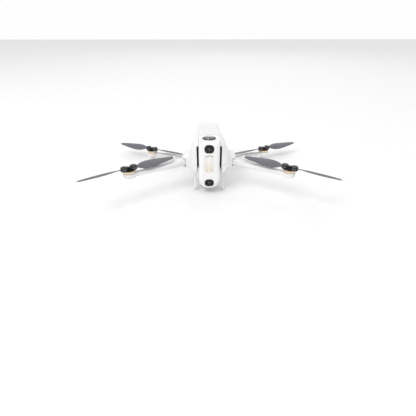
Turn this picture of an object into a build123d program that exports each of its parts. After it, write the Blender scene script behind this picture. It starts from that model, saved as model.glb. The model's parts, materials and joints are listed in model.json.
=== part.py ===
from build123d import *

import os
from math import atan2, cos, degrees, hypot, radians, sin, sqrt

# Folding four-rotor camera drone, standing open on two front legs and two rear feet.
# Millimetres. +X is to the right of someone facing its camera pod, the pod faces -Y, +Z is up.
# While it is modelled, Y is counted from the line through the two front motors and Z from the floor.
# At the very end everything is moved along Y, so that the origin is under the middle of the footprint.

# ---------------------------------------------------------------- driving dimensions
# rotors
FRONT_MOTOR_X = 115.0
REAR_MOTOR_X = 108.0
MOTOR_ROWS_APART = 155.0
PROP_RADIUS = 76.2
FRONT_BLADE_ANGLE = -34.0   # outer blade of the right front rotor, about +Z from +X
REAR_BLADE_ANGLE = 25.0     # outer blade of the right rear rotor
FRONT_CUP_TOP = 46.5
REAR_CUP_TOP = 15.0
CUP_RADIUS = 9.25
FRONT_CUP_HEIGHT = 7.2
REAR_CUP_HEIGHT = 7.5
BLADE_FOLD = 80.0

# body
WALL = 1.6
BODY_FRONT = 20.0
BODY_TAIL = 157.0
FRONT_ROUND = 9.0
TAIL_ROUND = 11.0
SPLIT_Z = 48.0              # parting line of the two shells
GROOVE_DEPTH = 0.5
GROOVE_WIDTH = 0.4

# arm hinges
FRONT_HINGE_X = 31.0
FRONT_HINGE_Y = 49.0
FRONT_KNUCKLE_RADIUS = 9.5
FRONT_KNUCKLE_LOW = 38.5
FRONT_KNUCKLE_HIGH = 50.0
SHOULDER_RADIUS = 10.0
SHOULDER_LOW = 34.0
SHOULDER_EDGE = 55.5
FRONT_FOLD = 113.8
REAR_HINGE_X = 24.0
REAR_HINGE_Y = 140.0
REAR_KNUCKLE_RADIUS = 8.0
REAR_KNUCKLE_LOW = 5.0
REAR_KNUCKLE_HIGH = 17.0
REAR_FOLD = 89.6
HINGE_PIN_RADIUS = 1.5
ARM_ROOT_WIDTH = 14.0
ARM_TIP_WIDTH = 8.0

# camera pod
POD_HALF_WIDTH = 15.6
POD_FRONT = 14.0
POD_BACK = 44.0
POD_BOTTOM = 10.0
POD_TOP = 86.0
POD_WALL = 1.8
POD_CORNER = 6.0
POD_SEAM = 22.0
POD_NOSE_ROUND = 12.0       # height of the rounding at the pod's foot
POD_BROW_ROUND = 8.0        # height of the rounding at its top
POD_TRIM = 0.1              # lofted this much too tall at each end, then cut flat
SLOT_WIDTH = 2.8            # dark intake slot each side of the pod
SLOT_TOP = 77.0
LENS_Y = 31.0
LENS_RING_RADIUS = 10.0
LENS_RADIUS = 7.0
LENS_RISE = 3.8
WINDOW_WIDTH = 14.0
WINDOW_HEIGHT = 12.3
UPPER_WINDOW_Z = 75.3
LOWER_WINDOW_Z = 21.2
WINDOW_CORNER = 5.2
WINDOW_THICKNESS = 1.2
INLAY_WIDTH = 13.0
INLAY_HEIGHT = 28.4
INLAY_CORNER = 3.2
INLAY_Z = 52.8
INLAY_SLOT = (3.4, 1.0, 20.0)        # distance from the middle, width, height

# front legs
LEG_X = 22.3
LEG_WIDTH = 4.0
LEG_HINGE_Y = 37.0
LEG_HINGE_Z = 33.5
LEG_ROOT_RADIUS = 3.5
LEG_PIN_RADIUS = 1.0
LEG_FOOT = (32.2, 1.6, 3.4)          # y, corner radius, length
LEG_FOLD = 90.0
FOOT_RADIUS = 4.5           # rear rubber feet

# battery
BATTERY_WIDTH = 35.0
BATTERY_LOW = 41.3
BATTERY_HIGH = 65.5
BATTERY_FRONT = 69.0
CAP_FRONT = 143.3
CAP_LOW = 38.3
BATTERY_WALL = 1.2
BATTERY_TRAVEL = 90.0
BUTTON_RADIUS = 4.0
BUTTON_TRAVEL = 0.8
LATCH_TRAVEL = 1.5

# clearances
GAP = 0.3                   # between pieces that move past each other, and visible seams
PIN_CLEARANCE = 0.05        # round a turning pin
FIXED_CLEARANCE = 0.02      # round a pin or shaft that stays in its hole
ARM_CLEARANCE = 0.6         # between a front arm and its slot
SCREW_CLEARANCE = 0.1

# reach of cutting boxes, beyond the whole drone
WIDE, LONG, TALL = 80.0, 200.0, 120.0

REAR_MOTOR_Y = MOTOR_ROWS_APART
FRONT_HINGE = (FRONT_HINGE_X, FRONT_HINGE_Y)
REAR_HINGE = (REAR_HINGE_X, REAR_HINGE_Y)
FRONT_ARM_LENGTH = hypot(FRONT_MOTOR_X - FRONT_HINGE_X, FRONT_HINGE_Y)
FRONT_ARM_ANGLE = degrees(atan2(-FRONT_HINGE_Y, FRONT_MOTOR_X - FRONT_HINGE_X))
REAR_ARM_LENGTH = hypot(REAR_MOTOR_X - REAR_HINGE_X, REAR_MOTOR_Y - REAR_HINGE_Y)
REAR_ARM_ANGLE = degrees(atan2(REAR_MOTOR_Y - REAR_HINGE_Y, REAR_MOTOR_X - REAR_HINGE_X))

parts = {}


# ---------------------------------------------------------------- helpers
def block(x0, x1, y0, y1, z0, z1):
    """Box between two opposite corners."""
    box = Box(x1 - x0, y1 - y0, z1 - z0)
    return Pos((x0 + x1) / 2, (y0 + y1) / 2, (z0 + z1) / 2) * box


def post(x, y, radius, z0, z1):
    """Upright cylinder."""
    return Pos(x, y, (z0 + z1) / 2) * Cylinder(radius, z1 - z0)


def tube(x, y, outer, inner, z0, z1):
    """Upright tube."""
    return post(x, y, outer, z0, z1) - post(x, y, inner, z0 - 1, z1 + 1)


def plate(outline, z0, z1):
    """Flat outline in plan, between two heights."""
    return Pos(0, 0, z0) * extrude(outline, z1 - z0)


def hull_plan(*circles):
    """Plan outline stretched round circles given as (x, y, radius)."""
    rings = []
    for x, y, radius in circles:
        rings += (Pos(x, y) * Circle(radius)).edges()
    return make_hull(rings)


def facing(outline, y0, y1):
    """Outline drawn in X and Z, between two distances back."""
    return Pos(0, y0, 0) * extrude(Plane.XZ * outline, -(y1 - y0))


def both(shape):
    """A shape and its mirror image across the middle plane."""
    return shape + mirror(shape, about=Plane.YZ)


def pair(name, shape):
    """Right-hand piece and its mirrored left-hand twin as two nodes."""
    parts[name + "_right"] = shape
    parts[name + "_left"] = mirror(shape, about=Plane.YZ)


def smooth_ring(corners, y):
    """Closed smooth curve in the plane at y that follows a polygon given by its (x, z) corners."""
    count = len(corners)
    points = []
    for i in range(count):
        before = corners[i - 1]
        here = corners[i]
        after = corners[(i + 1) % count]
        points.append(tuple((before[k] + 4 * here[k] + after[k]) / 6 for k in (0, 1)))
    return Wire([Spline(*[(x, y, z) for x, z in points], periodic=True)])


# ---------------------------------------------------------------- outer form of the fuselage
# Stations along the straight part of the fuselage, which runs from the front rounding to the tail
# rounding: (share of its length, flat top half width, side half width, height of the widest place,
# half width near the bottom, top, bottom)
STATIONS = [
    (0.0, 18.4, 29.4, 61.0, 25.8, 86.2, 31.0),
    (0.145, 19.0, 29.8, 61.0, 26.4, 86.4, 30.9),
    (0.35, 18.2, 27.6, 60.8, 25.2, 83.4, 30.2),
    (0.59, 16.9, 25.2, 60.0, 23.3, 78.6, 29.2),
    (0.83, 16.1, 23.3, 58.6, 22.2, 75.0, 28.3),
    (1.0, 15.9, 22.2, 56.8, 21.4, 73.6, 28.0),
]
STRAIGHT_START = BODY_FRONT + FRONT_ROUND
STRAIGHT_LENGTH = BODY_TAIL - TAIL_ROUND - STRAIGHT_START


def station_at(y):
    """Fuselage sizes at any y, straight between the listed stations."""
    share = (y - STRAIGHT_START) / STRAIGHT_LENGTH
    if share <= 0:
        return STATIONS[0][1:]
    for low, high in zip(STATIONS, STATIONS[1:]):
        if share <= high[0]:
            part = (share - low[0]) / (high[0] - low[0])
            return [a + (b - a) * part for a, b in zip(low[1:], high[1:])]
    return STATIONS[-1][1:]


def body_ring(y, inset):
    """Cross-section at y, drawn in by the same distance all round."""
    top_half, side_half, side_z, low_half, top, bottom = station_at(y)
    centre = (top + bottom) / 2
    across = 1 - inset / side_half
    upright = 1 - inset / ((top - bottom) / 2)
    right = [
        (low_half * 0.5, bottom),
        (low_half - 2.5, bottom + 0.6),
        (low_half + 1.0, bottom + 5.0),
        (side_half - 0.6, side_z - 14.0),
        (side_half, side_z - 4.0),
        (side_half - 0.6, side_z + 4.0),
        (top_half + 5.2, top - 10.0),
        (top_half + 1.5, top - 1.6),
        (top_half - 5.5, top),
    ]
    left = [(-x, z) for x, z in reversed(right)]
    outline = [(0, bottom)] + right + [(0, top)] + left
    corners = [(x * across, centre + (z - centre) * upright) for x, z in outline]
    return smooth_ring(corners, y)


def body_form(inset):
    """Closed fuselage form, rounded at the front and at the tail, drawn in by the same distance all over."""
    front_round = FRONT_ROUND - inset
    tail_round = TAIL_ROUND - inset
    rings = []
    for angle in (6, 34, 62):
        y = BODY_FRONT + inset + front_round * (1 - cos(radians(angle)))
        rings.append((y, inset + front_round * (1 - sin(radians(angle)))))
    for station in STATIONS:
        rings.append((STRAIGHT_START + STRAIGHT_LENGTH * station[0], inset))
    for angle in (62, 34, 6):
        y = BODY_TAIL - inset - tail_round * (1 - cos(radians(angle)))
        rings.append((y, inset + tail_round * (1 - sin(radians(angle)))))
    return Solid.make_loft([body_ring(y, d) for y, d in rings])


# ---------------------------------------------------------------- shoulders and tail bosses
# Right shoulder, as upright rounded sections across X: (x, depth in y, top, corner radius)
SHOULDER_SECTIONS = [
    (14.0, 52.0, 74.0, 12.0),
    (22.0, 40.0, 66.5, 10.0),
    (28.0, 29.0, 60.5, 7.5),
    (34.0, 23.5, 57.2, 6.0),
    (39.0, 20.0, 55.5, 5.5),
    (41.0, 15.0, 53.0, 4.5),
]
SHOULDER_END_LIFT = 2.0     # the outer end is rounded up from the underside by this much


def shoulder_form():
    """Right shoulder, flaring out of the flank and rounded at its outer end."""
    sections = []
    for x, depth, top, corner in SHOULDER_SECTIONS:
        low = SHOULDER_LOW + (SHOULDER_END_LIFT if x > SHOULDER_SECTIONS[-2][0] else 0)
        place = Plane.YZ.offset(x) * Pos(FRONT_HINGE_Y, (low + top) / 2)
        sections.append(place * RectangleRounded(depth, top - low, corner))
    return loft(sections)


def front_arm_sweep(grow):
    """Plan of all that the right front arm's root passes over as it folds, grown by a margin."""
    half = ARM_ROOT_WIDTH / 2 + grow
    reach = 60.0
    narrowing = 1.2
    strip = Polygon((0, -half), (reach, narrowing - half), (reach, half - narrowing), (0, half), align=None)
    fan = [(0, 0)]
    steps = 8
    for i in range(steps + 1):
        angle = radians(FRONT_ARM_ANGLE + FRONT_FOLD * i / steps)
        fan.append((reach * cos(angle), reach * sin(angle)))
    sweep = Circle(FRONT_KNUCKLE_RADIUS + grow) + Polygon(*fan, align=None)
    for angle in (FRONT_ARM_ANGLE, FRONT_ARM_ANGLE + FRONT_FOLD):
        sweep += Rot(0, 0, angle) * strip
    return Pos(*FRONT_HINGE) * sweep


POD_BAY_HALF = POD_HALF_WIDTH + SLOT_WIDTH
POD_BAY_BACK = POD_BACK + 2.0
LEG_RECESS = (LEG_X - LEG_WIDTH / 2 - GAP, LEG_X + LEG_WIDTH / 2 + GAP)
LEG_RECESS_TOP = LEG_HINGE_Z + LEG_ROOT_RADIUS + GAP
LEG_RECESS_BACK = LEG_HINGE_Y + LEG_HINGE_Z + 5.0
LINER = 1.5                 # wall round every recess in the shells


def pod_bay(grow):
    """Room for the camera pod: wide along the intake slots, close round the pod above them."""
    half = POD_BAY_HALF + grow
    low = block(-half, half, 0, POD_BAY_BACK + grow, 0, SLOT_TOP + grow)
    half = POD_HALF_WIDTH + GAP + grow
    high = block(-half, half, 0, POD_BACK + GAP + grow, 0, TALL)
    return low + high


def leg_recess(grow):
    """Channel in the belly that the right front leg folds into."""
    low_x, high_x = LEG_RECESS
    front = LEG_HINGE_Y - LEG_ROOT_RADIUS - GAP
    return block(low_x - grow, high_x + grow, front - grow, LEG_RECESS_BACK + grow, 0, LEG_RECESS_TOP + grow)


def tail_boss():
    """Boss under the tail that carries the right rear arm's hinge."""
    outline = hull_plan((REAR_HINGE_X, REAR_HINGE_Y, REAR_KNUCKLE_RADIUS), (13.0, REAR_HINGE_Y + 6, 6.0))
    boss = plate(outline, REAR_KNUCKLE_HIGH + GAP, 33.0)
    return fillet(boss.faces().sort_by(Axis.Z)[0].edges(), 0.8)


# ---------------------------------------------------------------- shells
BOARD_Z = 33.6
BOARD_THICKNESS = 1.2
DECK_Z = 39.2               # underside of the frame plate
DECK_THICKNESS = 1.6
POSTS = [(14.0, 60.0), (14.0, 132.0)]
POST_RADIUS = 2.6
SCREW_RADIUS = 1.0
SCREW_HEAD_RADIUS = 2.0
SCREW_HEAD_HEIGHT = 1.1
STANDOFFS = [(9.0, 66.0), (9.0, 118.0)]
STANDOFF_RADIUS = 1.6
TAIL_WALL_Y = CAP_FRONT - GAP
DECK_EDGE_Z = CAP_LOW - GAP
VENT = (84.0, 108.0, 61.5, 68.5)     # y from, y to, z from, z to
VENT_SLITS = 7
VENT_SLIT_WIDTH = 1.5
WINDOW_DEPTH = 0.9
BELLY_WINDOW = (16.0, 26.0, 91.0)    # width, length, y of its centre
PORT_Y = 118.0
PORT_OPENING = (9.4, 5.4)            # length along y, height
PORT_Z = 37.0
PORT_COVER_THICKNESS = 1.2

body = body_form(0)
groove_floor = body_form(GROOVE_DEPTH)
inside = body_form(WALL)


def belly_z(y):
    """Height of the underside at y."""
    return station_at(y)[5]


def body_skin(depth):
    """Outer skin of the fuselage, down to a depth."""
    return body - body_form(depth)


def belly_outline(grow):
    """Plan of the sensor window in the belly, grown by a margin."""
    width, length, y = BELLY_WINDOW
    return Pos(0, y) * RectangleRounded(width + 2 * grow, length + 2 * grow, 4.0 + grow)


def port_zone(gap):
    """Box through the left flank where the port opens, less a gap all round."""
    half_y, half_z = PORT_OPENING[0] / 2 - gap, PORT_OPENING[1] / 2 - gap
    return block(-WIDE, -17, PORT_Y - half_y, PORT_Y + half_y, PORT_Z - half_z, PORT_Z + half_z)


def make_shells():
    """Upper and lower shell, hollow, with every recess lined."""
    shoulders = both(shoulder_form())
    outer = body + shoulders + both(tail_boss())
    slot_low = FRONT_KNUCKLE_LOW - GAP
    slot_high = FRONT_KNUCKLE_HIGH + GAP
    arm_slot = both(plate(front_arm_sweep(ARM_CLEARANCE), slot_low, slot_high))
    arm_liner = both(plate(front_arm_sweep(ARM_CLEARANCE + LINER), slot_low - LINER, slot_high + LINER))
    recesses = both(leg_recess(0))
    cavity = inside - arm_liner - pod_bay(LINER) - both(leg_recess(LINER))
    cavity -= block(-WIDE, WIDE, TAIL_WALL_Y - WALL, LONG, 0, DECK_EDGE_Z + WALL)
    posts = Part()
    for x, y in POSTS:
        for side in (-x, x):
            posts += post(side, y, POST_RADIUS, belly_z(y) + 0.5, DECK_Z)
    for x, y in STANDOFFS:
        for side in (-x, x):
            posts += post(side, y, STANDOFF_RADIUS, belly_z(y) + 0.5, BOARD_Z)
    shell = outer - cavity + posts
    shell -= arm_slot
    shell -= pod_bay(0)
    shell -= recesses
    # reveal along the parting line
    reveal = block(-WIDE, WIDE, 0, LONG, SPLIT_Z - GROOVE_WIDTH / 2, SPLIT_Z + GROOVE_WIDTH / 2)
    shell -= (reveal & body) - groove_floor
    # pins and screws
    for x, y, radius, z0, z1 in PIN_HOLES:
        shell -= both(post(x, y, radius, z0, z1))
    pin_x = Pos(LEG_X, LEG_HINGE_Y, LEG_HINGE_Z) * Rot(0, 90, 0)
    shell -= both(pin_x * Cylinder(LEG_PIN_RADIUS + FIXED_CLEARANCE, LEG_PIN_LENGTH))
    for x, y in POSTS:
        for side in (-x, x):
            seat = belly_z(y) + WALL
            shell -= post(side, y, SCREW_RADIUS + SCREW_CLEARANCE, 0, DECK_Z + 1)
            shell -= post(side, y, SCREW_HEAD_RADIUS + 2 * SCREW_CLEARANCE, 0, seat)
    # windows, vents and port
    shell -= plate(belly_outline(FIXED_CLEARANCE), 0, SPLIT_Z) & body_skin(WINDOW_DEPTH)
    y0, y1, z0, z1 = VENT
    pitch = (y1 - y0) / VENT_SLITS
    for i in range(VENT_SLITS):
        slit_y = y0 + pitch * (i + 0.5)
        half = VENT_SLIT_WIDTH / 2
        shell -= both(block(BATTERY_WIDTH / 2 + 1, WIDE, slit_y - half, slit_y + half, z0, z1))
    shell -= port_zone(0)
    # the battery's tail cap takes the place of the shells here
    shell -= block(-WIDE, WIDE, TAIL_WALL_Y, LONG, DECK_EDGE_Z, TALL)
    parts["upper_shell"] = shell & block(-WIDE, WIDE, 0, LONG, SPLIT_Z, TALL)
    parts["lower_shell"] = shell & block(-WIDE, WIDE, 0, LONG, 0, SPLIT_Z)


# ---------------------------------------------------------------- pins and screws
FRONT_PIN_Z = (36.0, 54.0)
REAR_PIN_Z = (4.7, 27.0)
REAR_PIN_HEAD_RADIUS = 2.8
REAR_PIN_HEAD = 0.8
LEG_PIN_LENGTH = 7.4
fixed_hole = HINGE_PIN_RADIUS + FIXED_CLEARANCE
turning_hole = HINGE_PIN_RADIUS + PIN_CLEARANCE
PIN_HOLES = [
    (FRONT_HINGE_X, FRONT_HINGE_Y, fixed_hole, FRONT_PIN_Z[0], FRONT_PIN_Z[1]),
    (REAR_HINGE_X, REAR_HINGE_Y, fixed_hole, REAR_KNUCKLE_HIGH, REAR_PIN_Z[1]),
]


def make_pins():
    """All hinge pins of the fuselage: two front arms, two rear arms, two legs."""
    pins = post(*FRONT_HINGE, HINGE_PIN_RADIUS, *FRONT_PIN_Z)
    head_top = REAR_PIN_Z[0]
    rear = post(*REAR_HINGE, HINGE_PIN_RADIUS, *REAR_PIN_Z)
    rear += post(*REAR_HINGE, REAR_PIN_HEAD_RADIUS, head_top - REAR_PIN_HEAD, head_top)
    leg = Pos(LEG_X, LEG_HINGE_Y, LEG_HINGE_Z) * Rot(0, 90, 0) * Cylinder(LEG_PIN_RADIUS, LEG_PIN_LENGTH)
    parts["hinge_pins"] = both(pins + rear + leg)


def make_screws():
    """Four screws that hold the inner frame down on the lower shell's posts."""
    screws = Part()
    for x, y in POSTS:
        for side in (-x, x):
            seat = belly_z(y) + WALL
            screw = post(side, y, SCREW_RADIUS, seat, DECK_Z + DECK_THICKNESS)
            screw += post(side, y, SCREW_HEAD_RADIUS, seat - SCREW_HEAD_HEIGHT, seat)
            screw -= Pos(side, y, seat - SCREW_HEAD_HEIGHT + 0.3) * extrude(RegularPolygon(0.9, 6), -1)
            screws += screw
    parts["body_screws"] = screws


# ---------------------------------------------------------------- inside the fuselage
RAIL_HALF = BATTERY_WIDTH / 2 + 0.4
RAIL_THICKNESS = 1.2
RAIL_TOP = 47.0
RAIL_FRONT = 68.0
DECK_FRONT = 50.0
DECK_BACK = 140.5
BULKHEAD_Y = 66.4
BULKHEAD = (15.0, 62.0)              # half width, top
AIR_HOLE = (9.0, 46.0, 54.0)         # half width, z from, z to
TRAY_SLOTS = (84.0, 100.0, 116.0)    # y of each slot over the heat sink
FAN_Y = 54.0
FAN_Z = 53.4
FAN_DEPTH = 6.0
FAN_RADIUS = 8.8
FAN_BLADES = 7
FAN_HUB_RADIUS = 3.0
FAN_AXLE_RADIUS = 0.8
FAN_SPOKE = 1.2                      # thickness of the spider's arms
BOARD = (16.5, 54.0, 128.0)          # half width, y from, y to
CHIP_TOP = 36.6
CHIPS = ((-6, 78, 11, 11), (7, 80, 8, 9), (-5, 98, 9, 12), (8, 101, 6, 8))     # x, y, width, length
PORT_BLOCK = (-20.0, -13.5, 4.5, 3.2)   # x from, x to, half length along y, height
PORT_BLOCK_WALL = 0.4
PORT_TONGUE = (-19.5, 3.2, 0.6)      # x of its end, half length along y, thickness
SINK = (14.5, 70.0, 112.0)           # half width, y from, y to
SINK_RIBS = 9
SINK_SLOT = 1.6
SINK_BASE = 0.9


def make_frame():
    """Tray with rails and a bulkhead that carries the battery, the fan and the heat sink."""
    top = DECK_Z + DECK_THICKNESS
    frame = block(-RAIL_HALF + 1, RAIL_HALF - 1, DECK_FRONT, RAIL_FRONT, DECK_Z, top)
    tray_half = RAIL_HALF + RAIL_THICKNESS
    frame += block(-tray_half, tray_half, RAIL_FRONT, DECK_BACK, DECK_Z, top)
    frame += both(block(RAIL_HALF, tray_half, RAIL_FRONT, DECK_BACK, top, RAIL_TOP))
    half, high = BULKHEAD
    frame += block(-half, half, BULKHEAD_Y, RAIL_FRONT, DECK_Z, high)
    half, low, high = AIR_HOLE
    frame -= block(-half, half, BULKHEAD_Y - 1, RAIL_FRONT + 1, low, high)
    for y in TRAY_SLOTS:
        frame -= Pos(0, y, DECK_Z) * extrude(RectangleRounded(20, 8, 3), 2 * DECK_THICKNESS)
    for x, y in POSTS:
        for side in (-x, x):
            frame -= post(side, y, SCREW_RADIUS + SCREW_CLEARANCE, 0, TALL)
    parts["inner_frame"] = frame


def make_board():
    """Main circuit board with its chips, and the port block at its edge."""
    half, y0, y1 = BOARD
    top = BOARD_Z + BOARD_THICKNESS
    board = block(-half, half, y0, y1, BOARD_Z, top)
    for x, y in POSTS:
        for side in (-x, x):
            board -= post(side, y, POST_RADIUS + GAP, 0, TALL)
    for x, y, wide, long in CHIPS:
        board += block(x - wide / 2, x + wide / 2, y - long / 2, y + long / 2, top, CHIP_TOP)
    parts["main_board"] = board
    x0, x1, half_y, height = PORT_BLOCK
    wall = PORT_BLOCK_WALL
    port = block(x0, x1, PORT_Y - half_y, PORT_Y + half_y, top, top + height)
    half_y -= wall
    port -= block(x0 - 1, x1 - 1.5, PORT_Y - half_y, PORT_Y + half_y, top + wall, top + height - wall)
    tongue_x, half_y, thickness = PORT_TONGUE
    low = top + (height - thickness) / 2
    port += block(tongue_x, x1 - 1, PORT_Y - half_y, PORT_Y + half_y, low, low + thickness)
    parts["port_block"] = port


def make_heat_sink():
    """Ribbed plate between the chips and the frame."""
    half, y0, y1 = SINK
    sink = block(-half, half, y0, y1, CHIP_TOP, DECK_Z)
    pitch = 2 * half / SINK_RIBS
    for i in range(SINK_RIBS):
        x = -half + pitch * (i + 0.5)
        slot = (x - SINK_SLOT / 2, x + SINK_SLOT / 2)
        sink -= block(*slot, y0 + 2, y1 - 2, CHIP_TOP + SINK_BASE, DECK_Z + 1)
    parts["heat_sink"] = sink


def make_fan():
    """Cooling fan: square housing with a spider, and a seven-blade rotor that turns about Y."""
    centre = Pos(0, FAN_Y, FAN_Z) * Rot(90, 0, 0)
    deck = DECK_Z + DECK_THICKNESS
    half = FAN_RADIUS + 2.4
    housing = block(-half, half, FAN_Y - FAN_DEPTH / 2, FAN_Y + FAN_DEPTH / 2, deck, FAN_Z + half)
    housing -= centre * Cylinder(FAN_RADIUS + 0.5, FAN_DEPTH + 2)
    back = Pos(0, FAN_Y + FAN_DEPTH / 2 - FAN_SPOKE / 2, FAN_Z) * Rot(90, 0, 0)
    spider = Cylinder(2.6, FAN_SPOKE)
    for i in range(3):
        spoke = Pos((FAN_RADIUS + FAN_SPOKE) / 2, 0, 0) * Box(FAN_RADIUS + FAN_SPOKE, 1.4, FAN_SPOKE)
        spider += Rot(0, 0, 90 + 120 * i) * spoke
    bearing = centre * Cylinder(FAN_AXLE_RADIUS + PIN_CLEARANCE, FAN_DEPTH + 2)
    parts["fan_housing"] = housing + back * spider - bearing
    rotor = Cylinder(FAN_HUB_RADIUS, 3.6) + Pos(0, 0, -1.6) * Cylinder(FAN_AXLE_RADIUS, 3.2)
    for i in range(FAN_BLADES):
        blade = Rot(38, 0, 0) * Box(FAN_RADIUS - 2.6, 3.6, 0.7)
        blade = Pos((FAN_HUB_RADIUS + FAN_RADIUS) / 2 - 0.3, 0, 0) * blade
        rotor += Rot(0, 0, 360 / FAN_BLADES * i) * (blade & Cylinder(FAN_RADIUS, 20))
    parts["fan_rotor"] = Pos(0, FAN_Y - 0.9, FAN_Z) * Rot(90, 0, 0) * rotor


TRIM_THICKNESS = 0.5
GRILLE_THICKNESS = 0.6
GRILLE_LAP = 1.5            # by which a grille is larger than the slits it lies behind


def make_trim():
    """Black intake trims, vent grilles behind the slits, and the belly sensor window."""
    z0, z1 = 35.0, SLOT_TOP - 1.0
    inner = POD_BAY_HALF - TRIM_THICKNESS
    side = block(inner, POD_BAY_HALF, POD_SEAM + 1, POD_BAY_BACK, z0, z1)
    back = block(POD_HALF_WIDTH - 0.8, inner, POD_BAY_BACK - 0.8, POD_BAY_BACK, z0, z1)
    parts["intake_trims"] = both(side + back)
    y0, y1, z0, z1 = VENT
    lap = GRILLE_LAP
    zone = block(10, WIDE, y0 - lap, y1 + lap, z0 - lap, z1 + lap)
    parts["vent_grilles"] = both((inside - body_form(WALL + GRILLE_THICKNESS)) & zone)
    window = plate(belly_outline(0), 0, SPLIT_Z) & body_skin(WINDOW_DEPTH - FIXED_CLEARANCE)
    parts["belly_window"] = window


def make_port_cover():
    """Small flap over the port, on the left flank."""
    parts["port_cover"] = body_skin(PORT_COVER_THICKNESS) & port_zone(GAP)


# ---------------------------------------------------------------- camera pod
def pod_section(z, inset):
    """Horizontal section of the pod: half width, front, back and corner radius."""
    below = max(0.0, min(1.0, (POD_BOTTOM + POD_NOSE_ROUND - z) / POD_NOSE_ROUND))
    above = max(0.0, min(1.0, (z - POD_TOP + POD_BROW_ROUND) / POD_BROW_ROUND))
    shrink = (1 - sqrt(1 - below**2)) * 6.2
    half = POD_HALF_WIDTH - inset - shrink
    front = POD_FRONT + inset + shrink * 1.05 + (1 - sqrt(1 - above**2)) * POD_BROW_ROUND
    back = POD_BACK - inset - shrink * 1.05
    corner = POD_CORNER + below * (half - POD_CORNER) * 0.9 - above * 1.5 - inset / 2
    return half, front, back, min(corner, 0.485 * min(2 * half, back - front))


def pod_form(inset):
    """Upright pod with a soft nose at its foot and a rounded brow."""
    bottom, top = POD_BOTTOM + inset, POD_TOP - inset
    low, high = bottom - POD_TRIM, top + POD_TRIM
    nose_end, brow_start = POD_BOTTOM + POD_NOSE_ROUND, POD_TOP - POD_BROW_ROUND
    middle = (nose_end + brow_start) / 2
    levels = []             # height of a section, and the height of the full-size pod it is taken from
    for share in (0.0, 0.04, 0.14, 0.32, 0.6, 1.0):
        levels.append((low + (nose_end - low) * share, POD_BOTTOM + POD_NOSE_ROUND * share))
    levels += [(middle - 10, middle), (middle + 10, middle)]
    for share in (1.0, 0.7, 0.42, 0.2, 0.06, 0.0):
        levels.append((high - (high - brow_start) * share, POD_TOP - POD_BROW_ROUND * share))
    sections = []
    for z, full_z in levels:
        half, front, back, corner = pod_section(full_z, inset)
        place = Pos(0, (front + back) / 2, z)
        sections.append(place * RectangleRounded(2 * half, back - front, corner))
    return loft(sections) & block(-WIDE, WIDE, 0, LONG, bottom, top)


def window_outline(z, grow):
    """Rounded window facing forwards."""
    shape = RectangleRounded(WINDOW_WIDTH + 2 * grow, WINDOW_HEIGHT + 2 * grow, WINDOW_CORNER + grow)
    return facing(Pos(0, z) * shape, 0, POD_SEAM + 4)


def inlay_outline(grow):
    """Arched panel between the two windows."""
    panel = RectangleRounded(INLAY_WIDTH + 2 * grow, INLAY_HEIGHT + 2 * grow, INLAY_CORNER + grow)
    return facing(Pos(0, INLAY_Z) * panel, 0, POD_SEAM + 2)


def make_pod():
    """Camera pod: face, housing, windows, inlaid panel, lens rings, domes and barrels."""
    outer = pod_form(0)
    hollow = pod_form(POD_WALL)
    bed = pod_form(WINDOW_THICKNESS)
    shallow = outer - bed
    shell = outer - hollow
    windows = window_outline(UPPER_WINDOW_Z, 0) + window_outline(LOWER_WINDOW_Z, 0)
    pockets = window_outline(UPPER_WINDOW_Z, 0.05) + window_outline(LOWER_WINDOW_Z, 0.05)
    parts["vision_windows"] = shallow & windows
    inlay = (pod_form(0.25) - bed) & inlay_outline(0)
    slot_x, slot_width, slot_height = INLAY_SLOT
    slot = Pos(slot_x, INLAY_Z - 1.3) * RectangleRounded(slot_width, slot_height, 0.49 * slot_width)
    inlay -= both(facing(slot, 0, POD_FRONT + 0.65))
    parts["pod_inlay"] = inlay
    shell -= shallow & (pockets + inlay_outline(0.05))
    ring_depth = 1.6
    seat = LENS_RING_RADIUS + 0.1
    for z0, z1 in ((POD_TOP - ring_depth, POD_TOP + 5), (POD_BOTTOM - 5, POD_BOTTOM + ring_depth)):
        shell -= post(0, LENS_Y, seat, z0, z1)
        shell -= post(0, LENS_Y, LENS_RADIUS + 1.0, z0 - 3, z1 + 3)
    seam = block(-WIDE, WIDE, POD_SEAM - GAP / 2, POD_SEAM + GAP / 2, 0, TALL)
    shell -= (seam & outer) - pod_form(GROOVE_WIDTH)
    parts["pod_face"] = shell & block(-WIDE, WIDE, 0, POD_SEAM, 0, TALL)
    parts["pod_housing"] = shell & block(-WIDE, WIDE, POD_SEAM, LONG, 0, TALL)
    sphere = (LENS_RADIUS**2 + LENS_RISE**2) / (2 * LENS_RISE)
    rings = Part()
    domes = Part()
    barrels = Part()
    for up, edge in ((1, POD_TOP), (-1, POD_BOTTOM)):
        base = edge - up * ring_depth
        place = Pos(0, LENS_Y, base) * Rot(0 if up > 0 else 180, 0, 0)
        ring = Pos(0, 0, 0.55) * Cylinder(LENS_RING_RADIUS, 1.1)
        ring += Pos(0, 0, 0.85) * Cylinder(LENS_RADIUS + 1.2, 1.7)
        ring -= Cylinder(LENS_RADIUS + 0.05, 10)
        rings += place * ring
        dome = Pos(0, 0, 1.0 + LENS_RISE - sphere) * Sphere(sphere) & Pos(0, 0, 6) * Box(40, 40, 10)
        dome += Pos(0, 0, 0.5) * Cylinder(LENS_RADIUS, 1.0)
        domes += place * dome
        barrel = Pos(0, 0, -6) * Cylinder(LENS_RADIUS - 0.4, 12)
        barrel += Pos(0, 0, -14) * Cylinder(LENS_RADIUS - 2.0, 5)
        barrels += place * barrel
    parts["lens_rings"] = rings
    parts["lens_domes"] = domes
    parts["lens_barrels"] = barrels
    dampers = Part()
    for x in (-9, 9):
        for z in (46.0, 68.0):
            centre_y = (POD_BACK + POD_BAY_BACK) / 2
            dampers += Pos(x, centre_y, z) * Rot(90, 0, 0) * Cylinder(2.5, POD_BAY_BACK - POD_BACK)
    parts["pod_dampers"] = dampers


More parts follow.
